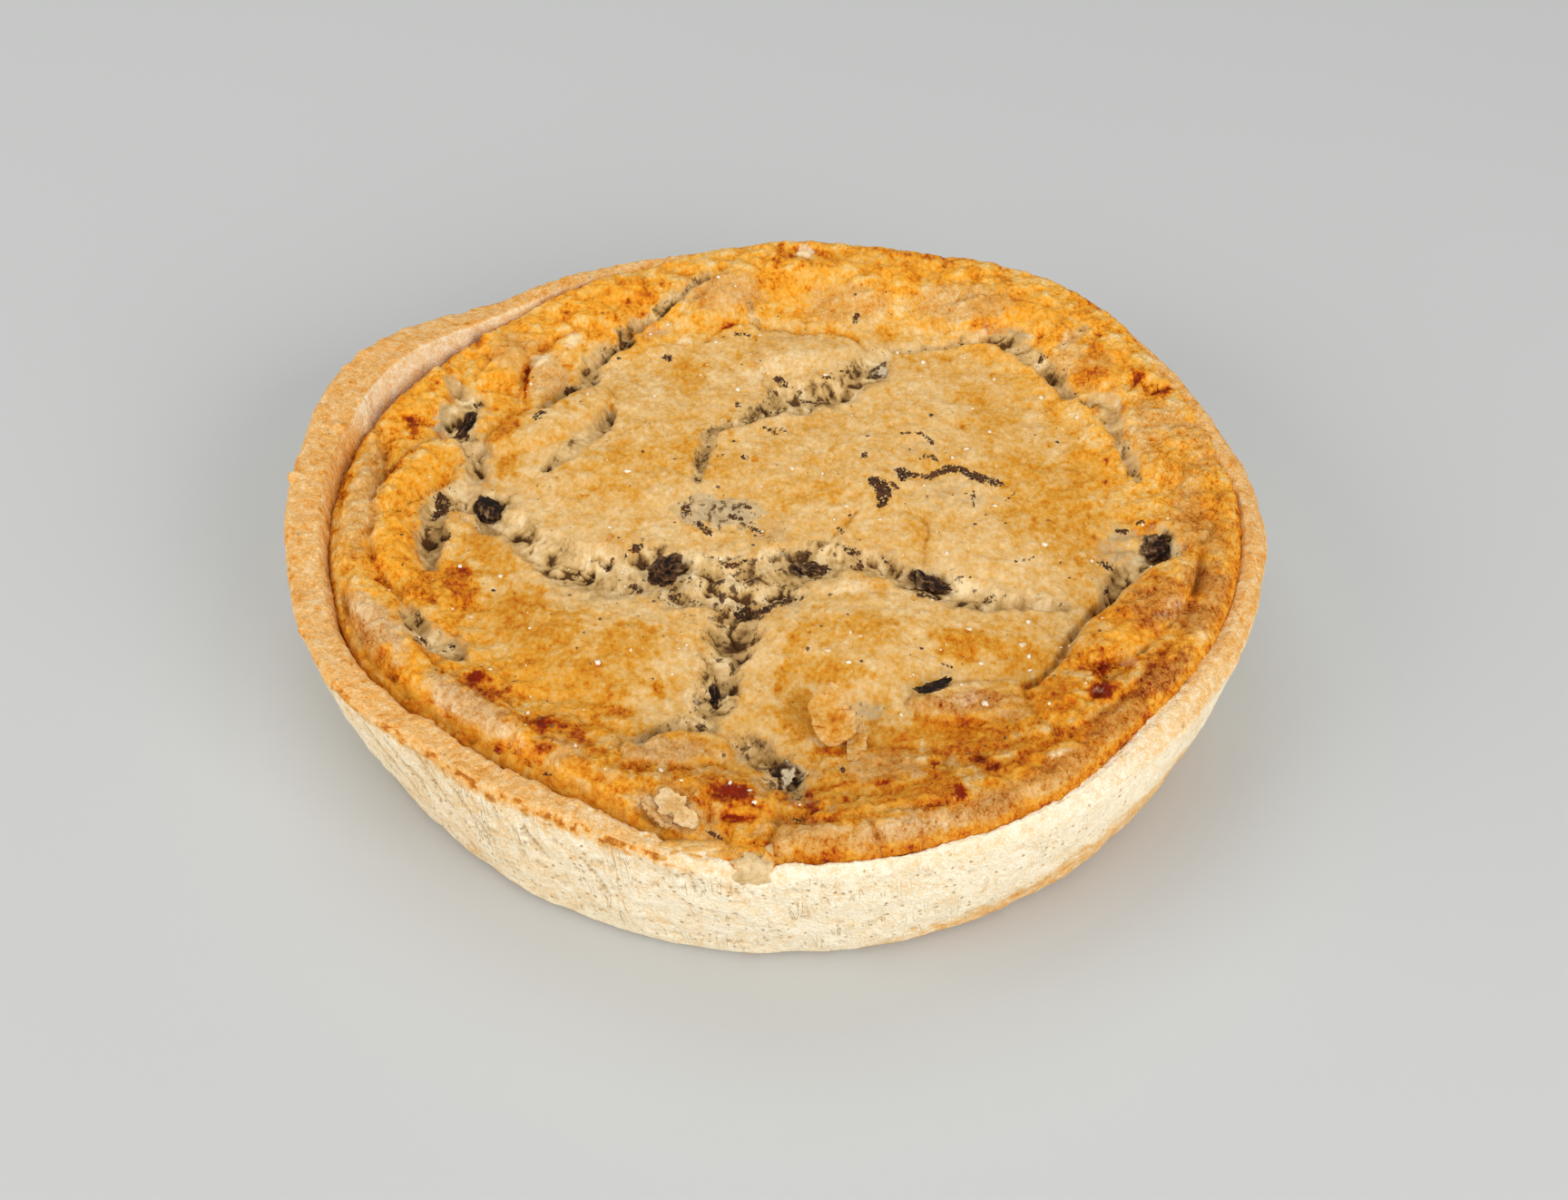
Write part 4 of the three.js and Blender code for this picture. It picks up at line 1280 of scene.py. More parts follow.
        gold = self.browning(turn, z, length, across, around, grain)
        gold = np.clip(gold - wall * (0.06 * chalky * crumb + 0.12 * near_top * wrinkle), 0.0, 1.0)
        worn = np.clip(chalky, 0.0, 1.0) * wall
        points = np.stack([r * np.cos(turn), r * np.sin(turn), z], axis=2).reshape(-1, 3)
        lay = np.stack([self.arc * np.cos(slanted), self.arc * np.sin(slanted), length], axis=2)
        middle = np.array([[0.0, 0.0, 0.0]])
        values = {
            "lay": np.concatenate([lay.reshape(-1, 3), middle]),
            "gold": np.append(gold.ravel(), 0.3),
            "worn": np.append(worn.ravel(), 0.0),
            "split": np.append(split.ravel(), 0.0),
        }
        count = rows.size
        column = np.arange(self.columns)[:, None]
        after = (column + 1) % self.columns
        row = np.arange(count - 1)[None, :]
        here = (column * count + row).ravel()
        next_here = (after * count + row).ravel()
        quads = np.stack([here, next_here, next_here + 1, here + 1], axis=1)
        triangles = np.concatenate([quads[:, [0, 1, 2]], quads[:, [0, 2, 3]]])
        hub = np.full(self.columns, len(points))
        fan = np.stack([hub, after[:, 0] * count, column[:, 0] * count], axis=1)
        points = np.concatenate([points, middle])
        piece = make_piece("pastry", points, np.concatenate([triangles, fan]), values)
        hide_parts("pastry_case")
        return piece

    def splits(self, turn: Array, z: Array, grain: Grain) -> Array:
        """Return how deep the long slanting splits of the front left wall are, from 0 to 1.

        Args:
            turn: Angles of the points.
            z: Heights of the points.
            grain: The noise that makes the splits uneven.

        Returns:
            Depth of the splits at each point.
        """
        total = np.zeros(turn.shape)
        for first, top, last, bottom, half in self.lines:
            share = np.clip((top - z) / (top - bottom), -0.2, 1.2)
            middle = np.radians(blend(first, last, share)) * self.arc
            wander = 0.9 * grain.layers(z / 7 + first, z * 0, 2)
            away = np.abs(turn * self.arc - middle - wander) / half
            ends = smoothstep(share, -0.02, 0.15) * fall(share, 0.8, 1.02)
            total = np.maximum(total, np.exp(-(away**2)) * ends)
        return total

    def browning(self, turn: Array, z: Array, length: Array, across: Array, around: Array,
                 grain: Grain) -> Array:
        """Return how browned each point is, from floury 0 to brown 1.

        Args:
            turn: Angles of the points.
            z: Heights of the points.
            length: Lengths along the section.
            across: Places along the section's corners.
            around: Slanted angles as shares of a turn.
            grain: The noise that makes the browning uneven.

        Returns:
            The browning.
        """
        uneven = grain.layers(around * 90 + 7, length / 8, 3, 90)
        fine = grain.layers(around * 260 + 3, length / 2.8, 3, 260)
        front_left = bell(turn, 234, 24)
        pale_front = np.clip(bell(turn, 300, 26) + bell(turn, 272, 12), 0.0, 1.0)
        # The extra tone round 228 degrees darkens the front left of the wall: painted shade.
        gold = 0.14 + 0.09 * uneven + 0.12 * bell(turn, 228, 26)
        rim_tone = 0.58 - 0.44 * pale_front - 0.06 * bell(turn, 252, 12)
        reach = -0.8 + 1.0 * front_left + 1.4 * bell(turn, 196, 16) + 0.6 * bell(turn, 250, 10)
        size = self.rim.sizes(turn)
        below = size.height - self.rim.round - z + 1.8 * uneven * (0.4 + front_left)
        on_rim = np.where(across > 5.0, 1.0, fall(below, reach - 0.8, reach + 0.6))
        soft = np.clip(bell(turn, 335, 26), 0.0, 1.0)
        on_rim = np.maximum(on_rim, 0.7 * soft * fall(below, 1.0, 7.0))
        gold = blend(gold, rim_tone + 0.1 * fine + 0.06 * uneven, on_rim)
        border = hump(below - reach, -1.0, 2.0) * (across < 5.8)
        blotch = smoothstep(0.8 * fine + 0.7 * uneven, -0.05, 0.3)
        gold += border * np.clip(front_left + 0.8 * bell(turn, 252, 9), 0.0, 1.0) * 0.4 * blotch
        spots, draw = grain.spots(around * 260, length / 2.8, 260)
        spotted = np.where(draw < 0.22, 0.2, 0.0) * fall(spots, 0.1, 0.34)
        gold += on_rim * spotted * (1.0 - pale_front)
        # The inner side at the back left is painted pale: partly the crust's own colour, partly painted
        # light on that face.
        inside = smoothstep(across, 7.1, 7.6)
        pale_lit = self.pale_lit_side(turn)
        gold = blend(gold, 0.29 + 0.06 * uneven + 0.06 * fine, inside * pale_lit)
        gold += (0.12 - 0.1 * pale_lit) * smoothstep(across, 7.9, 8.6)
        band = 1.2 + 9.0 * bell(turn, 300, 16) + 18.0 * bell(turn, 324, 17)
        foot = fall(z + 3.0 * uneven, band - 4.5, band + 4.0)
        gold = np.where(across < 5.0, np.maximum(gold, foot * (0.48 + 0.2 * fine)), gold)
        return np.clip(gold, 0.0, 1.0)


@dataclass
class Custard:
    """The custard filling: sunken slabs inside a puffed ring, cracks, folds and marks."""

    rim: RimForm
    rings: int = 170
    skirt: int = 6
    skirt_step: float = 1.4
    skirt_in: float = 0.45
    skirt_toast: float = 0.62
    seed: int = 23
    grain_reach: float = 0.74
    level: float = 35.0
    ring_inner: float = 0.7
    ring_crest: float = 0.9
    ring_rise: float = 5.0
    shoulder: float = 0.945
    shoulder_drop: float = 3.2
    swells: tuple[tuple[float, float, float, float], ...] = (
        (185, 40, -0.9, -0.6), (232, 24, -1.0, 1.8), (315, 45, 0.8, -2.0), (80, 35, 1.5, -2.0),
        (148, 20, -2.4, 1.2), (42, 20, 0.3, -1.6),
    )
    slope: Point = (232, 26, 0.012)
    gaps: tuple[Point, ...] = ((188, 22, 0.5), (228, 20, 0.4))
    leans: tuple[Point, ...] = (
        (300, 22, 0.9), (332, 18, 1.0), (15, 10, 3.2), (42, 20, 3.6), (85, 30, 2.0), (264.5, 4.5, 3.0),
    )
    slabs: tuple[Patch, ...] = (
        Patch(-36, 30, 34, 28, 25, 1.1), Patch(-62, 36, 18, 10, 33, 1.0), Patch(48, 14, 34, 40, 0, 0.9),
        Patch(-45, -48, 24, 17, -20, 1.6), Patch(26, -47, 36, 19, 0, 2.0), Patch(4, 67, 17, 9, 10, 1.2),
        Patch(10, 16, 26, 22, 0, 0.8),
    )
    points: Array = field(init=False)

    def base(self, theta: Array, share: Array) -> Array:
        """Return the height of the plain top, before cracks and folds.

        Args:
            theta: Angles of the points.
            share: Their distances from the middle as shares of the custard's radius.

        Returns:
            Heights.
        """
        rise = self.ring_rise
        drop = self.shoulder_drop
        for at, spread, more_rise, more_drop in self.swells:
            bump = bell(theta, at, spread)
            rise = rise + more_rise * bump
            drop = drop + more_drop * bump
        at, spread, wider = self.slope
        start = self.shoulder - wider * bell(theta, at, spread)
        over = np.clip((share - start) / (1.0 - start), 0.0, 1.0)
        ring = smoothstep(share, self.ring_inner, self.ring_crest)
        return self.level + rise * ring - drop * (1.0 - np.sqrt(1.0 - over**2))

    def edge(self, theta: Array) -> Array:
        """Work out the custard's outer radius.

        Args:
            theta: Angles round the axis.

        Returns:
            The radius at each angle.
        """
        level = self.base(theta, 1.0 + 0 * theta)
        radius = self.rim.inner(theta, level)
        for at, spread, gap in self.gaps:
            radius = radius - gap * bell(theta, at, spread)
        for at, spread, lean in self.leans:
            radius = radius + lean * bell(theta, at, spread)
        return radius

    def layout(self) -> tuple[Array, Array, Array]:
        """Lay out the points of the top in rings.

        Returns:
            Angle and share of each point, and the triangles between them.
        """
        shares = [np.zeros(1)]
        angles = [np.zeros(1)]
        faces = []
        before = np.zeros(6, int)
        first = 1
        for ring in range(1, self.rings + 1):
            count = 6 * ring
            shares.append(np.full(count, ring / self.rings))
            angles.append(np.arange(count) * TURN / count)
            place = np.arange(count)
            sector = place // ring
            inner_count = max(count - 6, 1)
            inside = before[(place - sector) % inner_count] if ring > 1 else np.zeros(count, int)
            outer = first + place
            follow = first + (place + 1) % count
            faces.append(np.stack([outer, follow, inside], axis=1))
            if ring > 1:
                inner_place = np.arange(inner_count)
                inner_sector = inner_place // (ring - 1)
                tip = first + (inner_place + inner_sector + 1) % count
                faces.append(np.stack([before, tip, before[(inner_place + 1) % inner_count]], axis=1))
            before = first + place
            first += count
        return np.concatenate(angles), np.concatenate(shares), np.concatenate(faces)

    def build(self) -> bpy.types.Object:
        """Build the filling with its relief and the values that its finish reads.

        Returns:
            The new piece.
        """
        grain = Grain(self.seed)
        theta, share, faces = self.layout()
        radius = self.edge(theta)
        x = share * radius * np.cos(theta)
        y = share * radius * np.sin(theta)
        z, marks = self.relief(x, y, theta, share, grain)
        values = self.marks(x, y, z, theta, share, marks, grain)
        points = np.stack([x, y, z], axis=1)
        points, faces, values = self.add_skirt(points, faces, values)
        values["lay"] = points * np.array([1.0, self.grain_reach, 1.0])
        values["fibre"] = np.concatenate([marks["fibre"], points[len(x):]])
        self.points = points
        piece = make_piece("custard", points, faces, values)
        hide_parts("filling")
        return piece

    def relief(self, x: Array, y: Array, theta: Array, share: Array, grain: Grain) -> tuple[Array, dict]:
        """Work out the height of every point of the top.

        Args:
            x: Places along x.
            y: Places along y.
            theta: Angles of the points.
            share: Their distances from the middle as shares of the radius.
            grain: The noise that makes the top uneven.

        Returns:
            Heights, and the masks by name that the marks are worked out from.
        """
        base = self.base(theta, share)
        seen = chart(y, base)
        ring = smoothstep(share, 0.64, 0.82)
        settle = 1.0 - 0.7 * smoothstep(share, 0.965, 1.0)
        warp = grain.layers(x / 11, y / 11 + 4, 2)
        shift = grain.layers(x / 11 + 7, y / 11, 2)
        broad = grain.layers(x / 16 + 5, y / 16, 3)
        fine = grain.layers(x / 2.4, y / 3.2 + 9, 3)
        cell, tone = grain.spots((x + 4.0 * warp) / 9.5, (y + 4.0 * shift) / 11)
        dome = mound(cell, 0.8)
        bubble = mound(grain.spots((x + 2.0 * warp) / 4.4, (y + 2.0 * shift) / 5.0)[0], 0.75)
        wrinkle = 0.5 - np.abs(grain.smooth((x + 3.0 * shift) / 4.6 + 3, (y + 3.0 * warp) / 4.0))
        puff, outline = np.zeros((2, x.size))
        for fold in FOLDS:
            near, away, _, _ = fold.line.reach(x, seen, 1.5)
            away = np.abs(away + 0.14 * grain.layers(x[near] / 6, y[near] / 6, 2))
            lift = fold.rise * 1.2 * np.clip(1.0 - away**2, 0.0, 1.0) ** 0.48
            puff[near] = np.maximum(puff[near], lift)
            rim = hump(away, 1.0, 0.13) * fold.rise / 3.6
            outline[near] = np.maximum(outline[near], rim)
        outline = outline * fall(puff, 0.6, 2.0)
        lumpy = blend(0.35, 1.7, ring) * (1.0 - 0.65 * smoothstep(puff, 0.4, 1.6))
        z = base + settle * (lumpy * (dome - 0.55) + blend(0.45, 0.8, ring) * broad + puff) - 0.8 * outline
        z = z + settle * (blend(0.18, 0.8, ring) * (bubble - 0.5) - blend(0.1, 0.75, ring) * wrinkle)
        for slab in self.slabs:
            z = z + slab.value * mound(slab.reach(x, seen), 1.0)
        crease = np.zeros(x.size)
        for line in CREASES:
            near, away, _, _ = line.reach(x, seen, 4.0)
            away = np.abs(away + 0.5 * grain.smooth(x[near] / 3, y[near] / 3))
            crease[near] = np.maximum(crease[near], hump(away, 0.0, 1.2))
        z = z - 1.2 * crease
        cut, bare, lip, strand = np.zeros((4, x.size))
        curd = np.full(x.size, 0.5)
        fibre = np.stack([x, y, 0 * x], axis=1)
        open_far = 0.5 + 0.6 * grain.layers(x / 10 + 1, y / 12, 2)
        ragged = 2.0 * grain.layers(x / 7, y / 7 + 5, 2) + 0.8 * grain.layers(x / 2.2, y / 2.2, 2)
        for crack in CRACKS:
            near, away, run, side = crack.line.reach(x, seen, 2.4)
            half = np.mean([point[2] for point in crack.line.points])
            away = np.maximum(away + ragged[near] * min(1.0, half / 5.0) / half, 0.0)
            deep = crack.depth * np.clip(0.35 + 0.7 * open_far[near], 0.25, 1.0) * fall(away, 0.35, 1.12)
            sideways = side / 20 + 0.7 * shift[near] + crack.depth
            strings = grain.layers(run / 6.0 + 0.9 * warp[near], sideways, 2)
            deepest = deep > cut[near]
            strand[near] = np.where(deepest, strings, strand[near])
            pulled = np.stack([run, side, 0 * run + 9.0 * crack.depth], axis=1)
            fibre[near] = np.where(deepest[:, None], pulled, fibre[near])
            curd[near] = np.where(deepest, crack.tone, curd[near])
            cut[near] = np.maximum(cut[near], deep)
            opened = np.maximum(fall(away, 0.7, 1.15), 0.4 * fall(away, 1.0, 1.9))
            bare[near] = np.maximum(bare[near], crack.bare * opened)
            edge = hump(away, 1.16, 0.16) * np.clip(crack.depth - 2.4, 0.0, 1.6) / 1.6
            lip[near] = np.maximum(lip[near], edge * np.clip(open_far[near] * 1.6 - 0.4, 0.0, 1.0))
        lip = lip * (1.0 - np.clip(bare * 2.0, 0.0, 1.0))
        cave, kept = grain.spots((x + 3.0 * warp) / 6.0, (y + 3.0 * shift) / 7.0 + 2)
        cave = np.where(kept < 0.3, fall(cave, 0.14, 0.34), 0.0)
        sunken = grain.layers(x / 6.0 + 2.0 * warp, y / 7.0 + 11, 2)
        hollow = np.maximum(cave, smoothstep(sunken, 0.33, 0.54))
        lump = mound(grain.spots(x / 2.8 + warp, y / 3.2 + shift)[0], 0.7)
        z = z - cut + 0.4 * lip
        inside = bare * np.clip(cut / 2.5, 0.2, 1.0)
        caves = 1.9 * hollow * np.clip(cut / 4.0, 0.2, 1.0)
        z = z + inside * (0.8 * strand - caves + 0.9 * broad + 0.06 * (lump - 0.4))
        z = z + bare * 0.07 * grain.layers(x / 1.8, y / 1.8, 2)
        for patch in BARE:
            near = patch.value * patch.cover(x, seen, (0.5, 1.2)) * (1.0 - bare)
            z = z + near * (0.8 * lump + 0.5 * warp - 0.9)
        z = z + (1.0 - bare) * blend(0.24, 0.42, ring) * fine
        z = z + (1.0 - bare) * blend(0.12, 0.17, ring) * grain.layers(x / 1.25, y / 1.25 + 2, 2)
        for patch in BLISTERS:
            z = z + 0.9 * patch.value * np.clip(1.0 - (patch.reach(x, seen) + 0.2 * fine) ** 2, 0.0, 1.0)
        # The outlines of the folds join the creases, whose darker tone is partly painted shade.
        crease = np.maximum(crease, 0.7 * outline)
        masks = {
            "ring": ring, "crease": crease, "bare": bare, "lip": lip, "cut": cut, "strand": strand,
            "fine": fine, "hollow": hollow, "dome": dome, "cell": cell, "tone": tone, "curd": curd,
            "puff": puff, "lump": lump, "bubble": bubble, "wrinkle": wrinkle, "fibre": fibre,
        }
        return z, masks

    def marks(self, x: Array, y: Array, z: Array, theta: Array, share: Array, masks: dict,
              grain: Grain) -> dict[str, Array]:
        """Work out the values that the custard's finish reads.

        Args:
            x: Places along x.
            y: Places along y.
            z: Heights.
            theta: Angles of the points.
            share: Their distances from the middle as shares of the radius.
            masks: What the relief worked out.
            grain: The noise that makes the marks uneven.

        Returns:
            Values by name, one for each point.
        """
        seen = chart(y, z)
        ragged = grain.layers(x / 3.2 + 2, seen / 3.2, 3)
        small = grain.layers(x / 1.2, seen / 1.2 + 4, 2)
        ring = masks["ring"]
        front = bell(theta, 284, 50)
        # The toast value is the skin's browning, and in the places marked below it also carries painted
        # shade.
        toast = blend(0.36, 0.5 + 0.1 * bell(theta, 262, 52), ring)
        toast = toast + 0.08 * grain.layers(x / 14, seen / 14 + 3, 3)
        # Darker in the low parts between the lumps and in the wrinkles, paler on the bubbles and lump
        # tops: partly browning, partly painted shade.
        toast = toast - blend(0.05, 0.11, ring) * (masks["dome"] - 0.55)
        toast = toast + 0.1 * ring * (masks["tone"] - 0.5)
        toast = toast + blend(0.01, 0.07, ring) * smoothstep(masks["cell"], 0.5, 0.85)
        toast = toast + blend(0.03, 0.1, ring) * (masks["wrinkle"] - 0.25)
        toast = toast - 0.07 * ring * (masks["bubble"] - 0.5)
        flat = np.zeros(x.size)
        for patch in GOLDEN_AND_SHADE_PATCHES:
            near = patch.cover(x, seen, (0.55, 1.15), 0.4 * ragged)
            toast = blend(toast, patch.value, near)
            flat = np.maximum(flat, near)
        flake = smoothstep(grain.layers(x / 5.5 + 9, seen / 4.2, 3), 0.0, 0.16) * ring * (1.0 - flat)
        toast = toast + 0.07 * ring * (1.0 - flat) - 0.17 * flake
        freckle = smoothstep(grain.layers(x / 1.4, seen / 1.4 + 3, 3), -0.1, 0.5)
        dry = 0.7 * flake * front
        freckled = 0.36 + 0.05 * front + 0.35 * bell(theta, 328, 32) + 0.1 * freckle
        for patch in FRECKLED:
            near = patch.value * patch.cover(x, seen, (0.65, 1.15), 0.3 * ragged)
            toast = blend(toast, freckled, near)
            dry = np.maximum(dry, near)
        toast = toast - blend(0.1, 0.07, ring) * masks["fine"]
        streak = grain.layers(theta * 9.0, np.hypot(x, y) / 2.4, 3)
        toast = toast + 0.16 * ring * bell(theta, 280, 38) * streak * (1.0 - dry)
        uneven = 0.4 * ragged + 0.15 * small
        for patch in TOASTED_AND_SHADOW_PATCHES:
            near = patch.cover(x, seen, (0.55, 1.2), uneven)
            toast = blend(toast, patch.value, near)
            dry = dry * (1.0 - 0.8 * near)
        # Browner along the creases and the outlines of the folds: partly browning, partly painted shade in
        # these hollows.
        toast = toast + (0.2 - 0.12 * bell(theta, 325, 40)) * masks["crease"]
        rim_gap = (1.0 - share) * 115.0
        # A dark band where the custard meets the rim at the front right and right: partly a browned edge,
        # partly painted shade.
        leaning = bell(theta, 305, 40) + bell(theta, 5, 24)
        brink = np.clip(leaning, 0, 1) * fall(rim_gap + 0.3 * ragged, 0.8, 1.9)
        toast = blend(toast, 0.72, brink)
        dry = dry * (1.0 - brink)
        # Browner at the very edge on the left, next to the rim: painted shade in the gap there.
        toast = toast + 0.12 * bell(theta, 180, 50) * hump(rim_gap, 0.0, 1.4)
        yellow = np.clip(bell(theta, 232, 25) * 1.4, 0, 1) * fall(rim_gap + 0.5 * ragged, 3.0, 4.2)
        toast = blend(toast, 0.63, yellow)
        dry = dry * (1.0 - yellow)
        blister = np.zeros(x.size)
        for patch in BLISTERS:
            near = patch.value * patch.cover(x, seen, (0.5, 1.15), 0.3 * ragged)
            blister = np.maximum(blister, near)
        bare = masks["bare"]
        base = masks["curd"]
        grey = np.zeros(x.size)
        for patch in BARE:
            near = patch.cover(x, seen, (0.5, 1.2), 0.4 * ragged)
            grey = np.where(patch.value * near > bare, 0.62 * near, grey)
            bare = np.maximum(bare, patch.value * near)
        # The edges of the cracks are made paler: partly the skin's own colour, partly painted highlight on
        # the raised edges.
        pale = 0.5 * masks["lip"]
        for patch in PALE_AND_HIGHLIGHT_PATCHES:
            near = patch.cover(x, seen, (0.4, 1.2), 0.35 * ragged)
            pale = np.maximum(pale, patch.value * near)
        dark = np.zeros(x.size)
        for line in DARK_SKINS_AND_SHADOWS:
            near, away, _, _ = line.reach(x, seen, 2.4)
            away = away + 0.3 * grain.layers(x[near] / 1.6, seen[near] / 1.6, 2)
            whole = min(0.55 + 0.12 * max(point[2] for point in line.points), 0.85)
            dark[near] = np.maximum(dark[near], whole * fall(away, 0.65, 1.35))
        # The curd is darker in the hollows, more so in deeper cracks: painted shade.
        depth = np.clip(masks["cut"] / 3.6, 0.0, 1.0)
        curd = base + 0.34 * masks["strand"] * (0.4 + depth) + 0.06 * ragged + 0.03 * small
        curd = curd + 0.05 * depth * (masks["lump"] - 0.5) - (0.14 + 0.56 * depth) * masks["hollow"]
        fleck = 1.2 * hump(x, -10, 26) + 0.6 * hump(x, 42, 16) + 0.4 * ring
        crumbly = np.clip(0.4 + 0.35 * bell(theta, 18, 42) + 0.3 * bell(theta, 178, 22), 0.0, 1.0)
        calm = ring * crumbly * (1.0 - 0.8 * flat) * (1.0 - yellow)
        calm = calm * (1.0 - 0.7 * bell(theta, 224, 20) * smoothstep(masks["puff"], 0.5, 2.0))
        glow = ring * (1.0 - 0.85 * front) * (1.0 - yellow)
        return {
            "toast": toast, "bare": bare, "pale": pale, "dark": dark, "curd": curd, "ring": calm,
            "blister": blister, "glow": glow, "dry": dry, "grey": grey, "fleck": fleck,
        }

    def add_skirt(self, points: Array, faces: Array, values: dict) -> tuple[Array, Array, dict]:
        """Turn the edge of the top down into the pastry.

        Args:
            points: Points of the top.
            faces: Triangles of the top.
            values: Values of its points.

        Returns:
            Points, faces and values with the side added.
        """
        count = 6 * self.rings
        first = len(points) - count
        rim = points[first:]
        outward = rim[:, :2] / np.linalg.norm(rim[:, :2], axis=1)[:, None]
        layers = [points]
        sides = [faces]
        place = np.arange(count)
        follow = (place + 1) % count
        for step in range(1, self.skirt + 1):
            lower = rim.copy()
            lower[:, 2] -= self.skirt_step * step
            lower[:, :2] -= outward * self.skirt_in * step
            start = first + count * step
            above = start - count
            sides.append(np.stack([above + place, start + place, start + follow], axis=1))
            sides.append(np.stack([above + place, start + follow, above + follow], axis=1))
            layers.append(lower)
        for name, entry in values.items():
            more = self.skirt_toast if name == "toast" else 0.0
            values[name] = np.concatenate([entry, np.full(count * self.skirt, more)])
        return np.concatenate(layers), np.concatenate(sides), values

    def top(self) -> Array:
        """Return the points of the top, without the side."""
        return self.points[: 1 + 3 * self.rings * (self.rings + 1)]

    def place_on(self, x: float, y: float) -> Array:
        """Return the point of the top that lies nearest to a place."""
        top = self.top()
        return top[np.argmin(np.hypot(top[:, 0] - x, top[:, 1] - y))]

    def seen_at(self, x: float, y: float) -> Array:
        """Find the point of the top that appears at a place on the chart.

        Args:
            x: Place along x.
            y: Place along y on the chart.

        Returns:
            The point.
        """
        top = self.top()
        away = np.hypot(top[:, 0] - x, chart(top[:, 1], top[:, 2]) - y)
        near = np.nonzero(away < away.min() + 0.5)[0]
        return top[near[np.argmax(top[near, 2] - 0.5 * top[near, 1])]]


class Cut(Enum):
    """How a piece of mushroom looks."""

    CHUNK = "chunk"
    STRIP = "strip"
    SLICE = "slice"
    FLAKE = "flake"


@dataclass(frozen=True)
class MushroomPiece:
    """One piece of mushroom in the custard: its node, cut, turn, half sizes and how much flesh shows."""

    node: str
    cut: Cut
    x: float
    y: float
    turn: float
    length: float
    width: float
    height: float
    flesh: float
    rounds: int = 5
    lump_rise: float = 0.24
    ridge_rise: float = 0.12
    rough_rise: float = 0.16
    lump_flesh: float = 0.3
    ridge_flesh: float = 0.2
    rough_flesh: float = 0.25
    seat: float = 0.2
    strip_bend: float = 0.2
    strip_wave: Pair = (0.5, 1.3)
    slice_wave: Pair = (0.35, 2.6)
    flake_curl: float = 0.06
    gill_count: float = 9.0
    gill_moved: float = 2.0
    gill_flesh: float = 0.12
    core_back: float = 0.2
    core_edge: Pair = (0.3, 0.6)
    core_flesh: float = 0.7

    def bend(self, local: Array) -> None:
        """Bend the piece, in place, the way its cut bends.

        Args:
            local: Points of the piece round its own middle.
        """
        if self.cut is Cut.STRIP:
            rise, turns = self.strip_wave
            local[:, 1] += self.strip_bend * local[:, 0] ** 2 / self.length
            local[:, 2] += rise * np.sin(local[:, 0] * turns)
        if self.cut is Cut.SLICE:
            rise, turns = self.slice_wave
            local[:, 2] += rise * np.sin(local[:, 1] * turns)
        if self.cut is Cut.FLAKE:
            local[:, 2] += self.flake_curl * local[:, 0] ** 2

    def build(self, custard: Custard, seed: int) -> bpy.types.Object:
        """Build the piece on the custard.

        Args:
            custard: What the piece lies in.
            seed: Seed of its lumps.

        Returns:
            The new piece.
        """
        grain = Grain(seed)
        unit, faces = ball(self.rounds)
        x, y, z = unit.T
        ridge = grain.layers(x * 2.2 + 3, y * 1.6 + z, 3)
        lump = grain.layers(x * 1.1, z * 1.4 + y, 3)
        rough = grain.layers(x * 4.0 + z * 3.0, y * 4.0 - z * 3.0, 3)
        swell = 1.0 + self.lump_rise * lump + self.ridge_rise * ridge + self.rough_rise * rough
        local = unit * swell[:, None] * np.array([self.length, self.width, self.height])
        self.bend(local)
        turn = math.radians(self.turn)
        cos = math.cos(turn)
        sin = math.sin(turn)
        spin = np.array([[cos, -sin, 0], [sin, cos, 0], [0, 0, 1]])
        level = custard.place_on(self.x, self.y)[2] + self.seat * self.height
        points = local @ spin.T + np.array([self.x, self.y, level])
        flesh = self.flesh + self.lump_flesh * lump + self.ridge_flesh * ridge + self.rough_flesh * rough
        if self.cut is Cut.SLICE:
            flesh += self.gill_flesh * np.sin(x * self.gill_count + self.gill_moved * lump)
            flesh += self.core_flesh * fall(np.hypot(x, y + self.core_back), *self.core_edge)
        name = self.node.replace("_", ".piece.")
        piece = make_piece(name, points, faces, {"lay": points.copy(), "flesh": flesh})
        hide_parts(self.node)
        return piece


MUSHROOMS = (
    MushroomPiece("mushroom_1", Cut.CHUNK, -75, 8, -60, 4.6, 3.4, 2.4, 0.12),
    MushroomPiece("mushroom_2", Cut.STRIP, -83, 42, 75, 6.5, 1.9, 1.8, 0.16),
    MushroomPiece("mushroom_3", Cut.CHUNK, -28, -15, 60, 5.4, 3.8, 2.4, 0.2),
    MushroomPiece("mushroom_4", Cut.STRIP, 8, -14, 5, 4.6, 2.0, 1.8, 0.25),
    MushroomPiece("mushroom_5", Cut.STRIP, 38, -20, -35, 5.6, 2.4, 2.0, 0.22),
    MushroomPiece("mushroom_6", Cut.STRIP, -15, -57, 100, 5.4, 1.6, 1.8, 0.1),
    MushroomPiece("mushroom_7", Cut.SLICE, 29, 66, 60, 4.6, 3.0, 2.2, 0.5),
    MushroomPiece("mushroom_8", Cut.CHUNK, 96, -10, 75, 4.4, 3.4, 2.2, 0.14),
    MushroomPiece("mushroom_9", Cut.SLICE, 2, -85, 80, 4.6, 3.4, 1.6, 0.3),
    MushroomPiece("mushroom_10", Cut.FLAKE, 37, -60, 25, 4.6, 1.5, 0.9, 0.04),
)


def custard_values(points: Array, **given: object) -> dict[str, Array]:
    """Fill in the values that the custard's finish reads.

    Args:
        points: Points of the piece.
        given: Values by name; the others are zero.

    Returns:
        Every value by name.
    """
    names = ("toast", "bare", "pale", "dark", "curd", "ring", "blister", "glow", "dry", "grey", "fleck")
    zero = np.zeros(len(points))
    values = {name: zero + given.get(name, 0.0) for name in names}
    return {"lay": points.copy(), "fibre": points.copy(), **values}


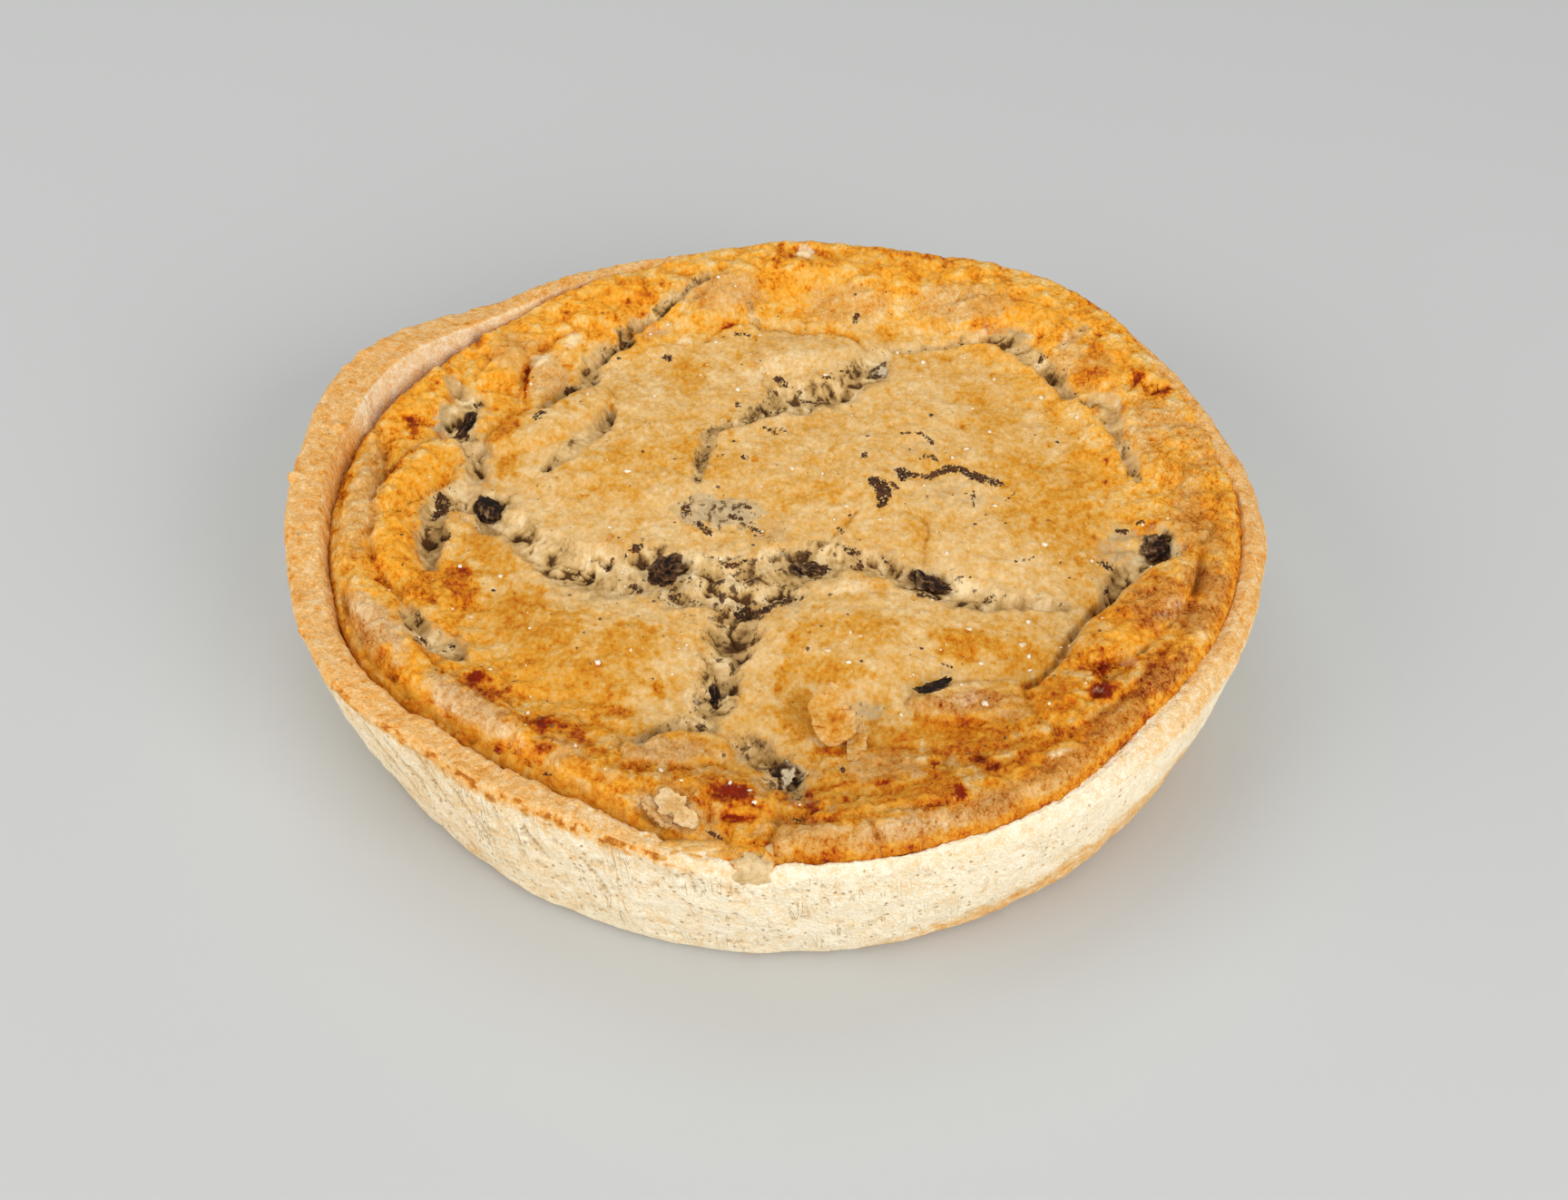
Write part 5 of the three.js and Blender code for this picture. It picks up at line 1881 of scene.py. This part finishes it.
@dataclass(frozen=True)
class Leaf:
    """A torn, curled leaf of skin: rows of place on the chart, height above the custard and half width."""

    name: str
    rows: tuple[tuple[float, float, float, float], ...]
    curl: float
    thick: float
    toast: float
    seed: int
    jag: float = 0.16
    dry: float = 0.25
    across: int = 28
    steps: int = 14
    jag_size: float = 8.0
    jag_apart: float = 5.0
    ripple: float = 0.25
    ripple_cells: Pair = (7.0, 2.0)
    thinnest: float = 0.02
    mottle_size: float = 2.4
    mottle_toast: float = 0.1
    mottle_pale: float = 0.2
    under_toast: float = 0.2
    crest_place: Pair = (0.45, 0.22)
    crest_toast: float = 0.2
    ring: float = 0.12

    def spine(self, custard: Custard) -> Array:
        """Draw the line along the leaf's middle.

        Args:
            custard: What the leaf stands on.

        Returns:
            Close rows of place and half width.
        """
        rows = []
        for x, y, up, half in self.rows:
            seat = custard.seen_at(x, y)
            rows.append((seat[0], seat[1] - CHART_SLANT * up, seat[2] + up, half))
        rows = np.array(rows)
        spots = np.linspace(0, len(rows) - 1, self.steps * (len(rows) - 1) + 1)
        dense = np.stack([np.interp(spots, np.arange(len(rows)), column) for column in rows.T], axis=1)
        return soften(dense, self.steps // 2)

    def build(self, custard: Custard) -> bpy.types.Object:
        """Build the leaf over the custard.

        Args:
            custard: What the leaf stands on.

        Returns:
            The new piece.
        """
        grain = Grain(self.seed)
        dense = self.spine(custard)
        ahead = np.gradient(dense[:, :2], axis=0)
        ahead /= np.linalg.norm(ahead, axis=1)[:, None] + 1e-9
        half = dense[:, 3:4]
        side = np.linspace(-1.0, 1.0, self.across)[None, :]
        run = np.arange(len(dense))[:, None]
        ends = np.sign(side) * self.jag_apart + 0 * run
        off = side * half * (1.0 + self.jag * grain.layers(run / self.jag_size + 0 * side, ends, 3))
        long, wide = self.ripple_cells
        ripple = self.ripple * grain.layers(run / long + 0 * side, side * wide + 0 * run, 2)
        x = dense[:, 0:1] - ahead[:, 1:2] * off
        y = dense[:, 1:2] + ahead[:, 0:1] * off
        z = dense[:, 2:3] + self.curl * side**2 * half + ripple
        thin = self.thick * np.sqrt(np.clip(1.0 - side**2, self.thinnest, 1.0)) + 0 * run
        points = np.stack([[x, y, z], [x, y, z - thin]]).transpose(0, 2, 3, 1).reshape(-1, 3)
        mottle = grain.layers(points[:, 0] / self.mottle_size, points[:, 1] / self.mottle_size, 3)
        # The lower sheet is browner and less pale: painted shade on the underside of the skin.
        underside_shade = np.repeat([0.0, self.under_toast], x.size)
        crest = self.crest_toast * (1.0 - side**2) ** 2 * hump(run / len(dense), *self.crest_place)
        toast = self.toast - self.mottle_toast * mottle + underside_shade + np.tile(crest.ravel(), 2)
        pale = self.mottle_pale * mottle - underside_shade
        values = custard_values(points, toast=toast, pale=pale, ring=self.ring, dry=self.dry)
        piece = make_piece(self.name, points, self.faces(*x.shape), values)
        return piece

    @staticmethod
    def faces(rows: int, columns: int) -> Array:
        """Work out the faces of the leaf's upper and lower side and of the border between them.

        Args:
            rows: Number of points along the leaf.
            columns: Number of points across it.

        Returns:
            The corners of each face.
        """
        count = rows * columns
        quads = grid_faces(rows, columns)
        border = np.concatenate([
            np.arange(columns - 1), np.arange(rows - 1) * columns + columns - 1,
            count - 1 - np.arange(columns - 1), (rows - 1 - np.arange(rows - 1)) * columns,
        ])
        follow = np.roll(border, -1)
        wall = np.stack([border, border + count, follow + count, follow], axis=1)
        return np.concatenate([quads[:, ::-1], quads + count, wall])


LEAVES = (
    Leaf("curled_skin", (
        (13.5, -79, 0.2, 1.2), (13.6, -76.5, 2.4, 4.0), (13.6, -72.7, 4.0, 5.5), (12.4, -67.4, 5.2, 5.0),
        (12.8, -62.3, 6.2, 2.6), (12.2, -57.3, 6.8, 0.2),
    ), 0.25, 0.55, 0.45, 41, 0.12),
    Leaf("hanging_skin", (
        (19, -71, 2.0, 1.0), (19, -74.5, 1.8, 2.2), (18.2, -79, 1.2, 2.4), (16.8, -83.6, 0.2, 0.9),
    ), -0.2, 0.5, 0.38, 43, 0.16),
    Leaf("torn_skin", (
        (-25.4, -91, 0.5, 1.2), (-23.5, -94.5, 1.3, 3.0), (-21, -98.5, 1.3, 3.2), (-17.8, -102, 0.3, 1.0),
    ), 0.06, 0.4, 0.24, 47, 0.5, 0.6),
    Leaf("torn_skin_2", (
        (-29, -94, 0.3, 0.8), (-27, -97, 0.9, 2.4), (-25, -100.5, 0.8, 2.0), (-23.6, -103, 0.2, 0.7),
    ), 0.06, 0.4, 0.28, 53, 0.5, 0.6),
)


@dataclass(frozen=True)
class Spill:
    """A lump of custard that ran over the rim: middle, half sizes, where it is broken off, and looks."""

    name: str
    middle: Point
    size: Point
    broken: float
    toast: float
    pale: float
    bare: float
    seed: int
    rounds: int = 5
    lump_rise: float = 0.28
    lump_break: float = 0.12
    lump_toast: float = 0.15
    lump_pale: float = 0.3
    lump_curd: float = 0.2
    end: float = 0.1
    end_toast: float = 0.3
    curd: float = 0.55
    ring: float = 0.3
    grey: float = 0.3

    def build(self) -> bpy.types.Object:
        """Build the lump.

        Returns:
            The new piece.
        """
        grain = Grain(self.seed)
        unit, faces = ball(self.rounds)
        lump = grain.layers(unit[:, 0] * 1.8 + 3, unit[:, 1] * 1.6 + unit[:, 2], 3)
        local = unit * (1.0 + self.lump_rise * lump)[:, None]
        local[:, 0] = np.minimum(local[:, 0], self.broken + self.lump_break * lump)
        points = local * np.array(self.size) + np.array(self.middle)
        # Darker towards the broken end: painted shade.
        end = smoothstep(local[:, 0], self.broken - self.end, self.broken)
        values = custard_values(
            points,
            toast=self.toast + self.lump_toast * lump + self.end_toast * end,
            pale=self.pale - self.lump_pale * lump,
            bare=self.bare * (1.0 - end),
            curd=self.curd - self.lump_curd * lump,
            ring=self.ring,
            grey=self.grey,
        )
        piece = make_piece(self.name, points, faces, values)
        return piece


SPILLS = (
    Spill("spilt_custard", (-5.0, -112.3, 36.4), (6.6, 5.2, 3.6), 0.72, 0.4, 0.1, 0.85, 91),
    Spill("spilt_film", (-18.0, -110.8, 39.2), (9.0, 2.8, 1.4), 1.2, 0.46, 0.2, 0.3, 93),
)


@dataclass
class Specks:
    """Small loose bits scattered over the custard, joined into one piece of each kind."""

    name: str
    count: int
    smallest: float
    largest: float
    flat: float
    seed: int
    places: tuple[Pair, ...] = ()
    spread: float = 100.0
    placed_smallest: float = 0.35
    placed_largest: float = 0.65
    rounds: int = 2
    rarer: float = 2.2
    uneven: float = 0.3
    lumps: Pair = (0.6, 1.5)
    stretch: Pair = (0.7, 1.5)
    apart: float = 40.0

    def build(self, custard: Custard) -> bpy.types.Object:
        """Scatter the bits.

        Args:
            custard: What the bits lie on.

        Returns:
            The new piece.
        """
        rng = np.random.default_rng(self.seed)
        unit, faces = ball(self.rounds)
        top = custard.top()
        inner = np.nonzero(np.hypot(top[:, 0], top[:, 1]) < self.spread)[0]
        chosen = top[rng.choice(inner, self.count, replace=False)]
        size = self.smallest + (self.largest - self.smallest) * rng.uniform(0, 1, self.count) ** self.rarer
        for place in self.places:
            chosen = np.concatenate([chosen, custard.seen_at(*place)[None]])
            size = np.append(size, rng.uniform(self.placed_smallest, self.placed_largest))
        points = []
        lays = []
        draws = []
        for seat, radius in zip(chosen, size):
            lump = 1.0 + self.uneven * rng.standard_normal(len(unit))
            form = unit * np.clip(lump, *self.lumps)[:, None] * radius
            form[:, :2] *= rng.uniform(*self.stretch, 2)
            form[:, 2] *= self.flat
            points.append(form + seat)
            lays.append(form + rng.uniform(0, self.apart, 3))
            draws.append(np.full(len(unit), rng.uniform(0, 1)))
        shift = (np.arange(len(chosen)) * len(unit))[:, None, None]
        every = (faces[None] + shift).reshape(-1, 3)
        values = {"lay": np.concatenate(lays), "draw": np.concatenate(draws)}
        piece = make_piece(self.name, np.concatenate(points), every, values)
        return piece


# Pale grains set where the skin glints: partly pale bits, partly painted glints.
GLINT_GRAIN_PLACES = (
    (-6, -91), (-5, -95), (-10, -89), (47, -41), (49, -65), (63, -65), (61, -55), (61, -50), (60, -46),
    (62, -38), (49, -52), (32, -56), (-80, -34), (-75, -36), (-58, -68), (-43, -52), (13, -48), (81, 40),
    (57, 34), (72, 49), (50, 27), (68, -10), (57, 4), (-40, 18),
)


@dataclass(frozen=True)
class Lamp:
    """A soft square light: its name, place and side in millimetres, and power in watts."""

    name: str
    place: Point
    side: float
    power: float


@dataclass(frozen=True)
class Studio:
    """The plain floor, the soft light and the camera."""

    lens: float = 50.0
    sensor: float = 36.0
    nearest: float = 0.01
    farthest: float = 50.0
    distance: float = 561.0
    elevation: float = 44.3
    target: Point = (1.8, -12.4, 20.0)
    floor_size: float = 6000.0
    floor_cells: int = 24
    floor_gap: float = 0.2
    floor_colour: Colour = (0.53, 0.538, 0.53)
    floor_darker: float = 0.985
    floor_cloud: Pair = (3.0, 2.0)
    floor_stages: Pair = (0.3, 0.7)
    floor_roughness: float = 0.7
    sky: float = 0.5
    lamps: tuple[Lamp, ...] = (
        Lamp("key", (930, -1056, 768), 1000.0, 17.0),
        Lamp("fill", (-1350, -560, 640), 1200.0, 13.0),
        Lamp("back", (-260, 760, 1380), 1000.0, 5.0),
        Lamp("front", (-200, -1500, 330), 900.0, 2.5),
    )

    def build(self) -> None:
        """Set up the floor, light, camera and colour handling."""
        self.floor()
        for lamp in self.lamps:
            self.light(lamp)
        world = bpy.data.worlds.new("soft room")
        world.use_nodes = True
        back = world.node_tree.nodes["Background"]
        back.inputs["Color"].default_value = (1.0, 1.0, 1.0, 1.0)
        back.inputs["Strength"].default_value = self.sky
        bpy.context.scene.world = world
        view = bpy.context.scene.view_settings
        view.view_transform = "Standard"
        view.look = "None"
        self.camera()

    def floor(self) -> None:
        """Lay the pale floor."""
        line = np.linspace(-0.5, 0.5, self.floor_cells + 1) * self.floor_size
        across, along = np.meshgrid(line, line)
        points = np.stack([across.ravel(), along.ravel(), 0 * across.ravel() - self.floor_gap], axis=1)
        mesh = bpy.data.meshes.new("floor")
        mesh.from_pydata((points * MM).tolist(), [], grid_faces(line.size, line.size).tolist())
        floor = bpy.data.objects.new("floor", mesh)
        bpy.context.scene.collection.objects.link(floor)
        sheet, material, surface = start_finish("pale floor")
        soft = sheet.noise(sheet.add("ShaderNodeTexCoord").outputs["Object"], *self.floor_cloud)
        darker = tuple(self.floor_darker * part for part in self.floor_colour)
        colour = sheet.ramp(soft, tuple(zip(self.floor_stages, (self.floor_colour, darker))))
        sheet.put(surface.inputs["Base Color"], colour)
        surface.inputs["Roughness"].default_value = self.floor_roughness
        mesh.materials.append(material)

    def light(self, lamp: Lamp) -> None:
        """Hang one soft light that points at the quiche.

        Args:
            lamp: The light.
        """
        data = bpy.data.lights.new(lamp.name, "AREA")
        data.size = lamp.side * MM
        data.energy = lamp.power
        hung = bpy.data.objects.new(lamp.name, data)
        hung.location = Vector(lamp.place) * MM
        aim = Vector(self.target) * MM - hung.location
        hung.rotation_euler = aim.to_track_quat("-Z", "Y").to_euler()
        bpy.context.scene.collection.objects.link(hung)

    def camera(self) -> None:
        """Set the camera at the angle from which the quiche is seen."""
        data = bpy.data.cameras.new("camera")
        data.lens = self.lens
        data.sensor_fit = "HORIZONTAL"
        data.sensor_width = self.sensor
        data.clip_start = self.nearest
        data.clip_end = self.farthest
        camera = bpy.data.objects.new("camera", data)
        up = math.radians(self.elevation)
        back = Vector((0.0, -math.cos(up), math.sin(up)))
        camera.location = (Vector(self.target) + back * self.distance) * MM
        camera.rotation_euler = (-back).to_track_quat("-Z", "Y").to_euler()
        bpy.context.scene.collection.objects.link(camera)
        bpy.context.scene.camera = camera


# Pale grains, partly standing in as painted glints, and dark specks.
GRAINS_AND_GLINTS = SpeckFinish("grains and glints", (0.80, 0.62, 0.38), (0.93, 0.84, 0.68), 0.3)
DARK_SPECKS = SpeckFinish("dark specks", (0.03, 0.018, 0.010), (0.22, 0.10, 0.03), 0.5)
SCATTERED = (
    (Specks("grains_and_glints", 150, 0.2, 0.55, 0.6, 71, GLINT_GRAIN_PLACES), GRAINS_AND_GLINTS),
    (Specks("dark_specks", 260, 0.14, 0.45, 0.4, 73), DARK_SPECKS),
)
FIRST_MUSHROOM_SEED = 60


def dress(piece: bpy.types.Object, material: bpy.types.Material) -> None:
    """Give a piece its finish."""
    piece.data.materials.append(material)
    log.info("%s: %s", piece.name, material.name)


def main() -> None:
    """Build every piece, dress it and set up the studio."""
    logging.basicConfig(level=logging.INFO, format="%(name)s %(message)s")
    rim = RimForm()
    effects = Effects()
    dress(PastryCase(rim).build(), PastryFinish().material(effects))
    custard = Custard(rim)
    custard_finish = CustardFinish().material(effects)
    dress(custard.build(), custard_finish)
    mushroom_finish = MushroomFinish().material(effects)
    for seed, mushroom in enumerate(MUSHROOMS, FIRST_MUSHROOM_SEED):
        dress(mushroom.build(custard, seed), mushroom_finish)
    for leaf in LEAVES:
        dress(leaf.build(custard), custard_finish)
    for spill in SPILLS:
        dress(spill.build(), custard_finish)
    for specks, finish in SCATTERED:
        dress(specks.build(custard), finish.material(effects))
    Studio().build()


if __name__ == "__main__":
    main()
